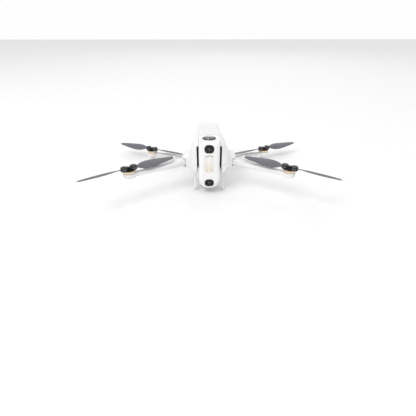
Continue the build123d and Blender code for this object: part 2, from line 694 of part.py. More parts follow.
# ---------------------------------------------------------------- front legs and rear feet
def make_leg():
    """Right front leg: a thin blade, round at the hinge, with a flat foot a little forward of it."""
    foot_y, foot_radius, foot_length = LEG_FOOT
    outline = make_hull(
        (Pos(LEG_HINGE_Y, LEG_HINGE_Z) * Circle(LEG_ROOT_RADIUS)).edges()
        + (Pos(foot_y, foot_radius) * Circle(foot_radius)).edges()
        + (Pos(foot_y + foot_length, foot_radius) * Circle(foot_radius)).edges()
    )
    leg = extrude(Plane.YZ * outline, LEG_WIDTH / 2, both=True)
    leg -= Pos(0, LEG_HINGE_Y, LEG_HINGE_Z) * Rot(0, 90, 0) * Cylinder(LEG_PIN_RADIUS + PIN_CLEARANCE, 20)
    pair("leg", Pos(LEG_X, 0, 0) * leg)


def make_rear_foot():
    """Rubber foot under the right rear motor."""
    top = REAR_CUP_TOP - REAR_CUP_HEIGHT
    foot = Pos(REAR_MOTOR_X, REAR_MOTOR_Y, top / 2) * Cone(FOOT_RADIUS - 1.0, FOOT_RADIUS, top)
    pair("rear_foot", fillet(foot.faces().sort_by(Axis.Z)[0].edges(), 0.6))


# ---------------------------------------------------------------- arms
# Sections along an arm: (distance from the hinge, width, underside, top)
FRONT_ARM_SECTIONS = [
    (4.0, ARM_ROOT_WIDTH - 0.8, 38.8, 49.6),
    (14.0, ARM_ROOT_WIDTH - 0.6, 38.7, 48.6),
    (25.0, ARM_ROOT_WIDTH - 1.0, 38.9, 47.2),
    (45.0, 11.4, 39.2, 46.2),
    (70.0, ARM_TIP_WIDTH + 1.4, 39.5, 45.8),
    (84.0, ARM_TIP_WIDTH + 1.6, 39.6, 45.7),
    (FRONT_ARM_LENGTH - 4.0, ARM_TIP_WIDTH + 3.6, 39.8, 45.7),
]
REAR_ARM_SECTIONS = [
    (3.0, 11.6, 6.4, 15.2),
    (13.0, 11.0, 7.0, 14.3),
    (40.0, ARM_TIP_WIDTH + 1.6, 7.3, 13.9),
    (66.0, ARM_TIP_WIDTH + 1.0, 7.8, 13.8),
    (REAR_ARM_LENGTH - 4.0, ARM_TIP_WIDTH + 3.0, 8.0, 14.2),
]


def arm_shank(sections):
    """Tapered round-cornered bar along +X."""
    faces = []
    for s, width, low, high in sections:
        corner = 0.36 * min(width, high - low)
        place = Plane.YZ.offset(s) * Pos(0, (low + high) / 2)
        faces.append(place * RectangleRounded(width, high - low, corner))
    return loft(faces)


def make_arm(name, hinge, angle, length, sections, knuckle, cup):
    """Arm with hinge knuckle and motor cup, drawn along +X and turned into place."""
    knuckle_radius, knuckle_low, knuckle_high = knuckle
    cup_low, cup_top = cup
    seat = post(length, 0, CUP_RADIUS, cup_low, cup_top)
    seat = fillet(seat.faces().sort_by(Axis.Z)[0].edges(), 2.4)
    seat = chamfer(seat.faces().sort_by(Axis.Z)[-1].edges(), 0.4)
    root = post(0, 0, knuckle_radius, knuckle_low, knuckle_high)
    root = fillet(root.edges().filter_by(GeomType.CIRCLE), 0.8)
    arm = arm_shank(sections) + root + seat
    arm -= post(0, 0, turning_hole, 0, 80)
    pair(name, Pos(*hinge) * Rot(0, 0, angle) * arm)


# ---------------------------------------------------------------- motors and propellers
BELL_RADIUS = 8.7
BELL_TOP = 4.1              # above the motor cup
CORE_RADIUS = 6.2
AIR_GAP = 0.5
SHAFT_RADIUS = 1.0
BLADE_PLANE = 6.4           # middle of the blade root above the motor cup
BLADE_PIVOT = 7.0           # from the rotor's axis
BLADE_EYE_RADIUS = 4.0
BLADE_EYE_HEIGHT = 2.2
BLADE_PIN_RADIUS = 0.9
HUB_RADIUS = 5.0
HUB_POST_RADIUS = 2.6

# Blade sections from the pivot outwards: (distance, chord, pitch, rise of upper face, rise of lower face)
BLADE_SECTIONS = [
    (2.6, 5.6, 4.0, 1.0, -1.0),
    (6.0, 7.0, 14.0, 1.0, -0.6),
    (11.0, 11.6, 22.0, 1.15, 0.0),
    (17.0, 15.6, 20.5, 1.45, 0.25),
    (25.0, 17.4, 17.5, 1.5, 0.35),
    (36.0, 16.0, 14.0, 1.3, 0.3),
    (48.0, 12.6, 11.5, 1.05, 0.2),
    (58.0, 8.8, 9.5, 0.8, 0.05),
    (65.0, 5.2, 8.5, 0.55, -0.05),
    (PROP_RADIUS - BLADE_PIVOT, 1.8, 8.0, 0.35, -0.2),
]
LEADING_SHARE = 0.44        # part of the chord ahead of the line through the pivot


def blade_section(s, chord, pitch, upper, lower):
    """Thin cambered section, leading edge towards +Y and raised."""
    tilt = radians(pitch)

    def at(along, up):
        return (s, along * cos(tilt) - up * sin(tilt), along * sin(tilt) + up * cos(tilt))

    lead, trail = chord * LEADING_SHARE, -chord * (1 - LEADING_SHARE)
    crest = lead - chord * 0.42
    top = Spline(at(trail, 0), at(crest, upper), at(lead, 0))
    bottom = Spline(at(lead, 0), at(crest, lower), at(trail, 0))
    return Wire([top, bottom])


def blade_form():
    """Hinged blade along +X for a rotor that turns anticlockwise, its pivot at the origin."""
    blade = Part() + Solid.make_loft([blade_section(*row) for row in BLADE_SECTIONS])
    blade += Cylinder(BLADE_EYE_RADIUS, BLADE_EYE_HEIGHT)
    return blade - Cylinder(BLADE_PIN_RADIUS + PIN_CLEARANCE, 10)


def hub_form():
    """Black hub along X: clamp plates above and below the two blade roots, and a middle post."""
    eye = BLADE_EYE_HEIGHT / 2 + GAP
    ends = ((-BLADE_PIVOT, 0, HUB_RADIUS), (BLADE_PIVOT, 0, HUB_RADIUS))
    hub = plate(hull_plan(*ends), BELL_TOP - BLADE_PLANE, -eye)
    hub += post(0, 0, HUB_POST_RADIUS, -eye, eye)
    hub += plate(Rectangle(2 * BLADE_PIVOT, 5.4), eye, eye + 1.0)
    hub += post(0, 0, 3.4, eye, eye + 1.0)
    for x in (-BLADE_PIVOT, BLADE_PIVOT):
        boss = post(x, 0, HUB_RADIUS, eye, eye + 1.9)
        hub += fillet(boss.faces().sort_by(Axis.Z)[-1].edges(), 0.9)
        hub -= post(x, 0, BLADE_PIN_RADIUS + FIXED_CLEARANCE, -4, eye + 1.1)
    return hub - post(0, 0, SHAFT_RADIUS + FIXED_CLEARANCE, -5, 10)


def hub_screw_form():
    """Centre screw with a hexagon socket, and the two blade pivot pins."""
    top = BLADE_EYE_HEIGHT / 2 + GAP + 1.0
    screw = post(0, 0, SHAFT_RADIUS, 0, top) + post(0, 0, 1.8, top, top + 1.1)
    screw -= Pos(0, 0, top + 0.4) * extrude(RegularPolygon(0.9, 6), 2)
    for x in (-BLADE_PIVOT, BLADE_PIVOT):
        screw += post(x, 0, BLADE_PIN_RADIUS, BELL_TOP - BLADE_PLANE, top)
    return screw


def stator_form():
    """Fixed core: foot, bearing tube and nine wound teeth, from the cup's top up."""
    core = post(0, 0, CORE_RADIUS, 0, 0.5) + post(0, 0, 2.0, 0.5, 2.9)
    teeth = Part()
    for i in range(9):
        tooth = block(1.5, CORE_RADIUS + 1, -0.8, 0.8, 0.9, 2.9)
        tooth += block(CORE_RADIUS - 0.9, CORE_RADIUS + 1, -1.7, 1.7, 0.9, 2.9)
        teeth += Rot(0, 0, 40 * i) * tooth
    core += teeth & post(0, 0, CORE_RADIUS, 0, 5)
    return core - post(0, 0, SHAFT_RADIUS + PIN_CLEARANCE, -1, 6)


def bell_form():
    """Spinning bell: outer ring, pierced top and shaft."""
    bell = tube(0, 0, BELL_RADIUS, CORE_RADIUS + AIR_GAP, 0.5, BELL_TOP)
    bell = chamfer(bell.edges().filter_by(GeomType.CIRCLE).sort_by(Axis.Z)[-1], 0.2)
    bell += post(0, 0, BELL_RADIUS - 0.5, BELL_TOP - 0.8, BELL_TOP)
    for i in range(6):
        bell -= Rot(0, 0, 60 * i + 30) * post(5.2, 0, 0.9, 3, 5)
    return bell + post(0, 0, SHAFT_RADIUS, 0.2, BLADE_PLANE)


def make_rotor(name, x, y, cup_top, angle, spin):
    """Motor and propeller at (x, y). Spin is +1 for anticlockwise from above and -1 for clockwise."""
    motor = Pos(x, y, cup_top)
    pair("stator_" + name, motor * stator_form())
    pair("bell_" + name, motor * Rot(0, 0, angle) * bell_form())
    prop = Pos(x, y, cup_top + BLADE_PLANE) * Rot(0, 0, angle)
    pair("hub_" + name, prop * hub_form())
    pair("hub_screws_" + name, prop * hub_screw_form())
    blade = blade_form()
    if spin < 0:
        blade = mirror(blade, about=Plane.XZ)
    for end, turn in (("outer", 0), ("inner", 180)):
        pair(f"blade_{name}_{end}", prop * Rot(0, 0, turn) * Pos(BLADE_PIVOT, 0, 0) * blade)


# ---------------------------------------------------------------- battery
BATTERY_CORNER = 5.0
CAP_CORE = 3.4              # depth of the latch pockets
BUTTON_Z = 54.0
CELL_GAP = 0.4
LATCH = (147.0, 153.5, 47.5, 58.0)   # y from, y to, z from, z to
LATCH_THICKNESS = 1.5


def battery_box(grow, front, back):
    """Round-topped bar that fills the battery bay."""
    half = BATTERY_WIDTH / 2 - grow
    low, high = BATTERY_LOW + grow, BATTERY_HIGH - grow
    outline = Pos(0, (low + high) / 2) * RectangleRounded(2 * half, high - low, BATTERY_CORNER - grow)
    return facing(outline, front, back)


def make_battery():
    """Battery: case with the tail cap, two cells, power button and two side latches."""
    cap = body & block(-WIDE, WIDE, CAP_FRONT, LONG, CAP_LOW, TALL)
    cap -= inside & block(-WIDE, WIDE, CAP_FRONT + WALL, LONG, CAP_LOW + WALL, TALL)
    case = battery_box(0, BATTERY_FRONT, CAP_FRONT + WALL) - battery_box(
        BATTERY_WALL, BATTERY_FRONT + BATTERY_WALL, CAP_FRONT
    )
    y0, y1, z0, z1 = LATCH
    hole = block(8, WIDE, y0 - GAP, y1 + GAP, z0 - GAP, z1 + GAP)
    cap -= both(hole & body_skin(CAP_CORE))
    rear = Pos(0, BODY_TAIL, BUTTON_Z) * Rot(90, 0, 0)
    parts["battery_case"] = cap + case - rear * Cylinder(BUTTON_RADIUS + GAP, 8)
    middle = (BATTERY_HIGH + BATTERY_LOW) / 2
    cells = battery_box(BATTERY_WALL + FIXED_CLEARANCE, BATTERY_FRONT + BATTERY_WALL, CAP_FRONT - GAP)
    parts["battery_cells"] = cells - block(-WIDE, WIDE, 0, LONG, middle - CELL_GAP / 2, middle + CELL_GAP / 2)
    button = rear * (Pos(0, 0, 1.9) * Cylinder(BUTTON_RADIUS, 3.2))
    parts["power_button"] = fillet(button.faces().sort_by(Axis.Y)[-1].edges(), 0.3)
    latch = block(8, WIDE, y0, y1, z0, z1) & body_skin(LATCH_THICKNESS)
    pair("battery_latch", latch)


# ---------------------------------------------------------------- whole model
make_shells()
make_pins()
make_screws()
make_frame()
make_board()
make_heat_sink()
make_fan()
make_trim()
make_port_cover()
make_pod()
make_leg()
make_rear_foot()
knuckle = (FRONT_KNUCKLE_RADIUS, FRONT_KNUCKLE_LOW, FRONT_KNUCKLE_HIGH)
cup = (FRONT_CUP_TOP - FRONT_CUP_HEIGHT, FRONT_CUP_TOP)
make_arm("arm_front", FRONT_HINGE, FRONT_ARM_ANGLE, FRONT_ARM_LENGTH, FRONT_ARM_SECTIONS, knuckle, cup)
knuckle = (REAR_KNUCKLE_RADIUS, REAR_KNUCKLE_LOW, REAR_KNUCKLE_HIGH)
cup = (REAR_CUP_TOP - REAR_CUP_HEIGHT, REAR_CUP_TOP)
make_arm("arm_rear", REAR_HINGE, REAR_ARM_ANGLE, REAR_ARM_LENGTH, REAR_ARM_SECTIONS, knuckle, cup)
make_rotor("front", FRONT_MOTOR_X, 0.0, FRONT_CUP_TOP, FRONT_BLADE_ANGLE, -1)
make_rotor("rear", REAR_MOTOR_X, REAR_MOTOR_Y, REAR_CUP_TOP, REAR_BLADE_ANGLE, 1)
make_battery()

front_edge = parts["blade_front_outer_right"].bounding_box().min.Y
back_edge = parts["blade_rear_outer_right"].bounding_box().max.Y
ORIGIN_Y = (front_edge + back_edge) / 2

os.makedirs("parts", exist_ok=True)
for name, shape in parts.items():
    export_step(Pos(0, -ORIGIN_Y, 0) * shape, f"parts/{name}.step")
print(len(parts), "nodes, origin at y", round(ORIGIN_Y, 3))
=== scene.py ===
# %% [markdown]
# # A folding camera drone in white, standing with its arms spread
#
# The mechanical model comes in already made: every shell, arm, motor, blade and screw is where it has to
# be, and each one moves with its own joint. What it lacks is a surface. This lesson gives each part its
# finish, turns the faceted meshes into smooth mouldings, and adds the small pieces that make it real:
# lens glass, sensor eyes, wound copper, lamps, grip ribs and rubber shoes.
#
# First the frame is loaded, and its box is measured, because nothing made later may stick out of it.

import json
from math import atan2, cos, degrees, hypot, pi, radians, sin

import bmesh
import bpy
from mathutils import Matrix, Vector


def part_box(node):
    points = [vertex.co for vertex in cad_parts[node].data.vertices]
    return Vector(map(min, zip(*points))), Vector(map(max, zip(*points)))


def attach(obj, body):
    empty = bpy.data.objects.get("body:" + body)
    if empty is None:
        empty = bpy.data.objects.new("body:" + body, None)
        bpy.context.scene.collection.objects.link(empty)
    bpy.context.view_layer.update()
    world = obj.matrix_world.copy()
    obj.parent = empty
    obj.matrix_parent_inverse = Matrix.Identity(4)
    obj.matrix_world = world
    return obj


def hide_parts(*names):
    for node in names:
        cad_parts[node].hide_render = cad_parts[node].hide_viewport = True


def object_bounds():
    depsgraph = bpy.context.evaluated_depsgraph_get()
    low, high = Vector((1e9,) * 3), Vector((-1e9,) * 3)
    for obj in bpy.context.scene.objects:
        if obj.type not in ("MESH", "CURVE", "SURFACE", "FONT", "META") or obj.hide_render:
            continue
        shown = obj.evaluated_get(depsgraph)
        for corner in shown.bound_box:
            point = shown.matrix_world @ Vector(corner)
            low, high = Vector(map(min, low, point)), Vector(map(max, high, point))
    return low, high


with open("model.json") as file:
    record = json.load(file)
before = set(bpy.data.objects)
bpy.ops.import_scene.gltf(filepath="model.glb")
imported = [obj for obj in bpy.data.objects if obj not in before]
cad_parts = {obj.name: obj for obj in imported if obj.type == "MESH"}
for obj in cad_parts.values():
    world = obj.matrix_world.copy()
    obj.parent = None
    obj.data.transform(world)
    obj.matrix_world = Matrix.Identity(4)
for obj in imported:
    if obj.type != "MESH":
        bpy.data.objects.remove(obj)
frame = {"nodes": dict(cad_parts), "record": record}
frame_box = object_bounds()
nodes = frame["nodes"]
MM = 0.001
body_of_node = {}
for body, members in frame["record"]["behaviour"]["bodies"].items():
    for member in members:
        body_of_node[member] = body
print(len(nodes), "nodes, box in mm", [[round(c / MM, 1) for c in corner] for corner in frame_box])

# %% [markdown]
# ## The camera
#
# A product shot of something this flat is taken from in front and above, close enough that the near
# rotors look larger than the far ones. A camera object could be aimed with a constraint, but a fixed
# place and two angles say the same with nothing left to solve. A short lens close by gives the strong
# perspective.

# %% Place the camera
CAMERA_PLACE = (-0.0076, -0.4551, 0.2324)
CAMERA_DOWN = 32.9          # degrees below the horizon
CAMERA_TURN = -0.81         # degrees about the upright axis
CAMERA_LENS = 25.36         # mm, on a sensor 36 mm wide

camera_data = bpy.data.cameras.new("camera")
camera_data.lens = CAMERA_LENS
camera_data.sensor_width = 36.0
camera_data.clip_start = 0.01
camera = bpy.data.objects.new("camera", camera_data)
bpy.context.scene.collection.objects.link(camera)
camera.location = CAMERA_PLACE
camera.rotation_euler = (radians(90 - CAMERA_DOWN), 0, radians(CAMERA_TURN))
bpy.context.scene.camera = camera
print("camera", [round(v, 3) for v in CAMERA_PLACE], "looking down", CAMERA_DOWN)

# %% [markdown]
# ## Soft studio light
#
# White plastic shows its form only through slow changes of brightness, so the light has to be wide and
# mostly even, with one side a little stronger. Large area lamps do that as softboxes do in a studio, and
# a pale world stands for the white walls. It is brighter where the camera sees it than where it lights the
# drone. The colours are shown as they are, with no film curve, so that white stays white.

# %% Lamps and world
LAMPS = [
    # name, place, size, power in watts
    ("key", (-1.0, -0.9, 1.7), 1.1, 15.0),
    ("fill", (1.5, -0.6, 1.2), 1.6, 2.5),
    ("back", (0.3, 1.6, 1.5), 1.4, 4.0),
]
WORLD_LIGHT = 0.86  # what falls on the drone
WORLD_SEEN = 0.99  # what the camera sees past the floor, near white so that no horizon shows


def soft_lamp(name, place, size, power):
    """A square area lamp at a place, facing the drone."""
    data = bpy.data.lights.new(name, "AREA")
    data.shape = "SQUARE"
    data.size = size
    data.energy = power
    lamp = bpy.data.objects.new(name, data)
    bpy.context.scene.collection.objects.link(lamp)
    lamp.location = place
    lamp.rotation_euler = (-Vector(place)).to_track_quat("-Z", "Y").to_euler()
    return lamp


for lamp_row in LAMPS:
    soft_lamp(*lamp_row)
world = bpy.data.worlds.new("studio")
world.use_nodes = True
world.node_tree.nodes["Background"].inputs["Color"].default_value = (1.0, 1.0, 1.0, 1)
seen = world.node_tree.nodes.new("ShaderNodeLightPath")
strength = world.node_tree.nodes.new("ShaderNodeMapRange")
strength.inputs["To Min"].default_value = WORLD_LIGHT
strength.inputs["To Max"].default_value = WORLD_SEEN
world.node_tree.links.new(seen.outputs["Is Camera Ray"], strength.inputs["Value"])
world.node_tree.links.new(
    strength.outputs["Result"], world.node_tree.nodes["Background"].inputs["Strength"]
)
bpy.context.scene.world = world
bpy.context.scene.view_settings.view_transform = "Standard"
print(len(LAMPS), "lamps")

# %% [markdown]
# ## Shared effects, as node groups
#
# Every material here is a base colour and a shine with small changes laid over them: the fine texture
# that a moulding tool leaves, the dull and bright patches that handling leaves, the rings of a lathe, the
# streaks of a filled plastic. Each of these effects serves several materials, so each is a node group
# built once, with named inputs. A group only puts out values that change over the surface; the plain
# numbers stay on each material's own shader.

# %% Helpers for node groups
def new_group(name, inputs, outputs):
    """An empty shader node group with its sockets; returns the tree and its two end nodes."""
    tree = bpy.data.node_groups.new(name, "ShaderNodeTree")
    for label, kind, value in inputs:
        socket = tree.interface.new_socket(label, in_out="INPUT", socket_type=kind)
        if value is not None:
            socket.default_value = value
    for label, kind in outputs:
        tree.interface.new_socket(label, in_out="OUTPUT", socket_type=kind)
    return tree, tree.nodes.new("NodeGroupInput"), tree.nodes.new("NodeGroupOutput")


def noise_node(tree, vector, scale, detail=2.0, roughness=0.5, across="3D"):
    """A noise texture reading a vector, or a single number when across is 1D."""
    node = tree.nodes.new("ShaderNodeTexNoise")
    node.noise_dimensions = across
    node.inputs["Detail"].default_value = detail
    node.inputs["Roughness"].default_value = roughness
    tree.links.new(vector, node.inputs["W" if across == "1D" else "Vector"])
    if isinstance(scale, (int, float)):
        node.inputs["Scale"].default_value = scale
    else:
        tree.links.new(scale, node.inputs["Scale"])
    return node.outputs["Fac"]


def range_node(tree, value, low, high, out_low=0.0, out_high=1.0):
    """Maps a value smoothly from one range to another; each end is a number or a socket."""
    node = tree.nodes.new("ShaderNodeMapRange")
    node.interpolation_type = "SMOOTHSTEP"
    tree.links.new(value, node.inputs["Value"])
    ends = {"From Min": low, "From Max": high, "To Min": out_low, "To Max": out_high}
    for label, end in ends.items():
        if isinstance(end, (int, float)):
            node.inputs[label].default_value = end
        else:
            tree.links.new(end, node.inputs[label])
    return node.outputs["Result"]


def math_node(tree, operation, first, second=0.0):
    """One sum, each side a number or a socket."""
    node = tree.nodes.new("ShaderNodeMath")
    node.operation = operation
    for slot_number, side in enumerate((first, second)):
        if isinstance(side, (int, float)):
            node.inputs[slot_number].default_value = side
        else:
            tree.links.new(side, node.inputs[slot_number])
    return node.outputs["Value"]


print("helpers for node groups ready")

# %% [markdown]
# ### Mould texture
#
# The steel mould of a plastic housing is eroded to a fine, even roughness, and the plastic copies it.
# Up close it is a leathery grain a few tenths of a millimetre across. A voronoi or musgrave texture could
# give it, but two sizes of plain noise are closer, because the real grain has no cells.

# %% Node group: mould grain
grain_group, ends_in, ends_out = new_group(
    "mould_grain",
    [("Vector", "NodeSocketVector", None), ("Grain Scale", "NodeSocketFloat", 2600.0)],
    [("Height", "NodeSocketFloat"), ("Patches", "NodeSocketFloat")],
)
fine = noise_node(grain_group, ends_in.outputs["Vector"], ends_in.outputs["Grain Scale"], 3.0, 0.6)
broad = noise_node(grain_group, ends_in.outputs["Vector"], 38.0, 2.0)
waves = math_node(grain_group, "MULTIPLY", broad, 0.35)
grain_group.links.new(math_node(grain_group, "ADD", fine, waves), ends_out.inputs["Height"])
grain_group.links.new(range_node(grain_group, broad, 0.3, 0.7), ends_out.inputs["Patches"])
print("group", grain_group.name)

# %% [markdown]
# ### Handling marks
#
# A thing that is picked up and folded open has areas polished by fingers and others left dull, with a few
# fine smears across them. The group mixes a slow noise with a stretched one, and gives a roughness that
# runs between the two values it is told.

# %% Node group: handling marks
marks_group, ends_in, ends_out = new_group(
    "handling_marks",
    [
        ("Vector", "NodeSocketVector", None),
        ("Polished", "NodeSocketFloat", 0.3),
        ("Dull", "NodeSocketFloat", 0.45),
    ],
    [("Roughness", "NodeSocketFloat"), ("Smear", "NodeSocketFloat")],
)
slow = noise_node(marks_group, ends_in.outputs["Vector"], 55.0, 3.0, 0.55)
stretch = marks_group.nodes.new("ShaderNodeMapping")
stretch.inputs["Rotation"].default_value = (0.3, 0.7, 0.5)
stretch.inputs["Scale"].default_value = (900.0, 60.0, 260.0)
marks_group.links.new(ends_in.outputs["Vector"], stretch.inputs["Vector"])
smear = range_node(marks_group, noise_node(marks_group, stretch.outputs["Vector"], 1.0, 2.0), 0.56, 0.74)
broad_marks = range_node(marks_group, slow, 0.32, 0.68)
mixed = math_node(marks_group, "ADD", broad_marks, math_node(marks_group, "MULTIPLY", smear, 0.3))
rough = range_node(marks_group, mixed, 0.0, 1.3, ends_in.outputs["Polished"], ends_in.outputs["Dull"])
marks_group.links.new(rough, ends_out.inputs["Roughness"])
marks_group.links.new(smear, ends_out.inputs["Smear"])
print("group", marks_group.name)

# %% [markdown]
# ### Tint between two colours
#
# No moulding is one colour all over: the pigment is a little denser in places. The group blends two near
# colours by a mask, so each material passes it the mask that suits its surface.

# %% Node group: two tints
tint_group, ends_in, ends_out = new_group(
    "two_tints",
    [
        ("Mask", "NodeSocketFloat", 0.5),
        ("First", "NodeSocketColor", (0.8, 0.8, 0.8, 1)),
        ("Second", "NodeSocketColor", (0.7, 0.7, 0.7, 1)),
    ],
    [("Color", "NodeSocketColor")],
)
blend = tint_group.nodes.new("ShaderNodeMix")
blend.data_type = "RGBA"
tint_group.links.new(ends_in.outputs["Mask"], blend.inputs["Factor"])
tint_group.links.new(ends_in.outputs["First"], blend.inputs[6])
tint_group.links.new(ends_in.outputs["Second"], blend.inputs[7])
tint_group.links.new(blend.outputs[2], ends_out.inputs["Color"])
print("group", tint_group.name)

# %% [markdown]
# ### Lathe rings
#
# Turned aluminium has very fine rings round its axis. The group takes a place measured from the axis,
# works out the radius, and reads a one-dimensional noise along it, so the rings are uneven as real tool
# marks are.

# %% Node group: lathe rings
rings_group, ends_in, ends_out = new_group(
    "lathe_rings",
    [("Vector", "NodeSocketVector", None), ("Rings", "NodeSocketFloat", 9000.0)],
    [("Height", "NodeSocketFloat"), ("Bands", "NodeSocketFloat")],
)
split = rings_group.nodes.new("ShaderNodeSeparateXYZ")
rings_group.links.new(ends_in.outputs["Vector"], split.inputs["Vector"])
squares = [math_node(rings_group, "MULTIPLY", split.outputs[axis], split.outputs[axis]) for axis in "XY"]
radius = math_node(rings_group, "SQRT", math_node(rings_group, "ADD", squares[0], squares[1]))
along = math_node(rings_group, "ADD", radius, split.outputs["Z"])
cuts = noise_node(rings_group, along, ends_in.outputs["Rings"], 2.0, 0.5, "1D")
rings_group.links.new(cuts, ends_out.inputs["Height"])
rings_group.links.new(noise_node(rings_group, along, 1500.0, 1.0, 0.5, "1D"), ends_out.inputs["Bands"])
print("group", rings_group.name)

# %% [markdown]
# ## Materials
#
# A material is one Principled shader. Numbers that are the same all over are set on its own sockets. The
# effects that vary are wired in from the groups: a tint to the colour, marks to the roughness, and a
# grain to a bump. A small recipe function does the wiring, because nearly every plastic here has the
# same three layers in different strengths.

# %% Helpers for materials
def bare_material(name, **numbers):
    """A material whose shader has these uniform values, each named as its socket with _ for spaces."""
    material = bpy.data.materials.new(name)
    material.use_nodes = True
    shader = material.node_tree.nodes["Principled BSDF"]
    for label, value in numbers.items():
        shader.inputs[label.replace("_", " ")].default_value = value
    return material, material.node_tree, shader


def place_vector(tree, attribute=None):
    """Where a point is: the piece's own coordinates, or a vector attribute stored on its mesh."""
    if attribute is None:
        return tree.nodes.new("ShaderNodeTexCoord").outputs["Object"]
    node = tree.nodes.new("ShaderNodeAttribute")
    node.attribute_name = attribute
    return node.outputs["Vector"]


def group_node(tree, group, vector=None, **numbers):
    """A node group placed in a material, with its own values."""
    node = tree.nodes.new("ShaderNodeGroup")
    node.node_tree = group
    if vector is not None:
        tree.links.new(vector, node.inputs["Vector"])
    for label, value in numbers.items():
        node.inputs[label.replace("_", " ")].default_value = value
    return node


def add_bump(tree, shader, height, strength, distance):
    """A bump from a height, in metres of real relief, to the shader's normal."""
    bump = tree.nodes.new("ShaderNodeBump")
    bump.inputs["Strength"].default_value = strength
    bump.inputs["Distance"].default_value = distance
    tree.links.new(height, bump.inputs["Height"])
    tree.links.new(bump.outputs["Normal"], shader.inputs["Normal"])
    return bump


def moulded(name, light, dark, polished, dull, grain=2600.0, relief=0.00002, attribute=None, **numbers):
    """Moulded plastic or rubber: two tints, handling marks and a mould grain."""
    material, tree, shader = bare_material(name, **numbers)
    vector = place_vector(tree, attribute)
    grain_node = group_node(tree, grain_group, vector, Grain_Scale=grain)
    marks = group_node(tree, marks_group, vector, Polished=polished, Dull=dull)
    tint = group_node(tree, tint_group, First=(*light, 1), Second=(*dark, 1))
    tree.links.new(grain_node.outputs["Patches"], tint.inputs["Mask"])
    tree.links.new(tint.outputs["Color"], shader.inputs["Base Color"])
    tree.links.new(marks.outputs["Roughness"], shader.inputs["Roughness"])
    add_bump(tree, shader, grain_node.outputs["Height"], 0.6, relief)
    return material, tree, shader


print("helpers for materials ready")

# %% [markdown]
# ### White mouldings, black parts and rubber
#
# The fuselage, the pod and the arms are the same white resin, but the fuselage is a touch warmer, the pod
# is polished brighter, and the arms, which are gripped to fold them, are duller. The inlay down the
# pod's face is a clear-coated cream that fades into white higher up. Black parts are either polished like
# the windows or grained. The feet and the shoes of the legs are a pale rubber.

# %% Plastic and rubber materials
finish = {}
finish["white_shell"] = moulded(
    "white_moulding", (0.84, 0.84, 0.84), (0.79, 0.79, 0.785), 0.28, 0.42,
    Coat_Weight=0.15, Coat_Roughness=0.2,
)[0]
finish["white_pod"] = moulded(
    "bright_white_moulding", (0.87, 0.87, 0.868), (0.83, 0.83, 0.825), 0.2, 0.32,
    Coat_Weight=0.3, Coat_Roughness=0.12,
)[0]
finish["white_arm"] = moulded(
    "arm_moulding", (0.82, 0.82, 0.82), (0.76, 0.76, 0.755), 0.34, 0.5, grain=2000.0, relief=0.00003
)[0]
INLAY_TURN = (0.045, 0.062)  # heights between which the cream fades into the white of the pod
material, tree, shader = moulded(
    "cream_inlay", (0.83, 0.77, 0.69), (0.80, 0.73, 0.64), 0.12, 0.2,
    relief=0.000005, Coat_Weight=0.6, Coat_Roughness=0.05,
)
height = tree.nodes.new("ShaderNodeSeparateXYZ")
tree.links.new(place_vector(tree), height.inputs["Vector"])
cream = shader.inputs["Base Color"].links[0].from_socket
faded = group_node(tree, tint_group, Second=(0.86, 0.84, 0.82, 1))
tree.links.new(range_node(tree, height.outputs["Z"], *INLAY_TURN), faded.inputs["Mask"])
tree.links.new(cream, faded.inputs["First"])
tree.links.new(faded.outputs["Color"], shader.inputs["Base Color"])
finish["inlay"] = material
finish["black_gloss"] = moulded(
    "polished_black", (0.010, 0.010, 0.011), (0.006, 0.006, 0.007), 0.06, 0.16,
    relief=0.000002, Specular_IOR_Level=0.32,
)[0]
finish["black_plastic"] = moulded(
    "grained_black", (0.014, 0.013, 0.013), (0.007, 0.007, 0.007), 0.3, 0.46,
    relief=0.00003, Specular_IOR_Level=0.4,
)[0]
finish["rubber"] = moulded(
    "soft_rubber", (0.03, 0.03, 0.031), (0.018, 0.018, 0.018), 0.7, 0.9, grain=1500.0, relief=0.00006
)[0]
finish["pale_rubber"] = moulded(
    "pale_rubber", (0.74, 0.73, 0.71), (0.68, 0.67, 0.65), 0.62, 0.8, grain=1500.0, relief=0.00005
)[0]
print(sorted(finish), "made")

# %% [markdown]
# ### Propeller blades
#
# The blades are a grey fibre-filled plastic with pale tips. Along the blade the filler leaves
# faint streaks. The tip has to stay at the end of the blade whichever way the blade is folded, so both
# the streaks and the tip read an attribute on the blade's mesh, which holds each point's distance along
# and across its rotor.

# %% Blade material
TIP_START = 0.0712          # from the rotor's axis
TIP_EDGE = 0.0002

blade_material, tree, shader = bare_material("filled_grey_plastic", Specular_IOR_Level=0.4)
vector = place_vector(tree, "rotor_place")
lengthwise = tree.nodes.new("ShaderNodeMapping")
lengthwise.inputs["Scale"].default_value = (60.0, 1400.0, 1400.0)
tree.links.new(vector, lengthwise.inputs["Vector"])
streaks = noise_node(tree, lengthwise.outputs["Vector"], 1.0, 3.0, 0.6)
split = tree.nodes.new("ShaderNodeSeparateXYZ")
tree.links.new(vector, split.inputs["Vector"])
tip = range_node(tree, split.outputs["X"], TIP_START, TIP_START + TIP_EDGE)
grey = group_node(tree, tint_group, First=(0.105, 0.105, 0.12, 1), Second=(0.155, 0.155, 0.175, 1))
pale = group_node(tree, tint_group, Second=(0.74, 0.74, 0.72, 1))
tree.links.new(streaks, grey.inputs["Mask"])
tree.links.new(tip, pale.inputs["Mask"])
tree.links.new(grey.outputs["Color"], pale.inputs["First"])
tree.links.new(pale.outputs["Color"], shader.inputs["Base Color"])
marks = group_node(tree, marks_group, vector, Polished=0.34, Dull=0.5)
tree.links.new(marks.outputs["Roughness"], shader.inputs["Roughness"])
add_bump(tree, shader, streaks, 0.5, 0.00004)
finish["blade"] = blade_material
print("blade material, tips from", TIP_START / MM, "mm out")

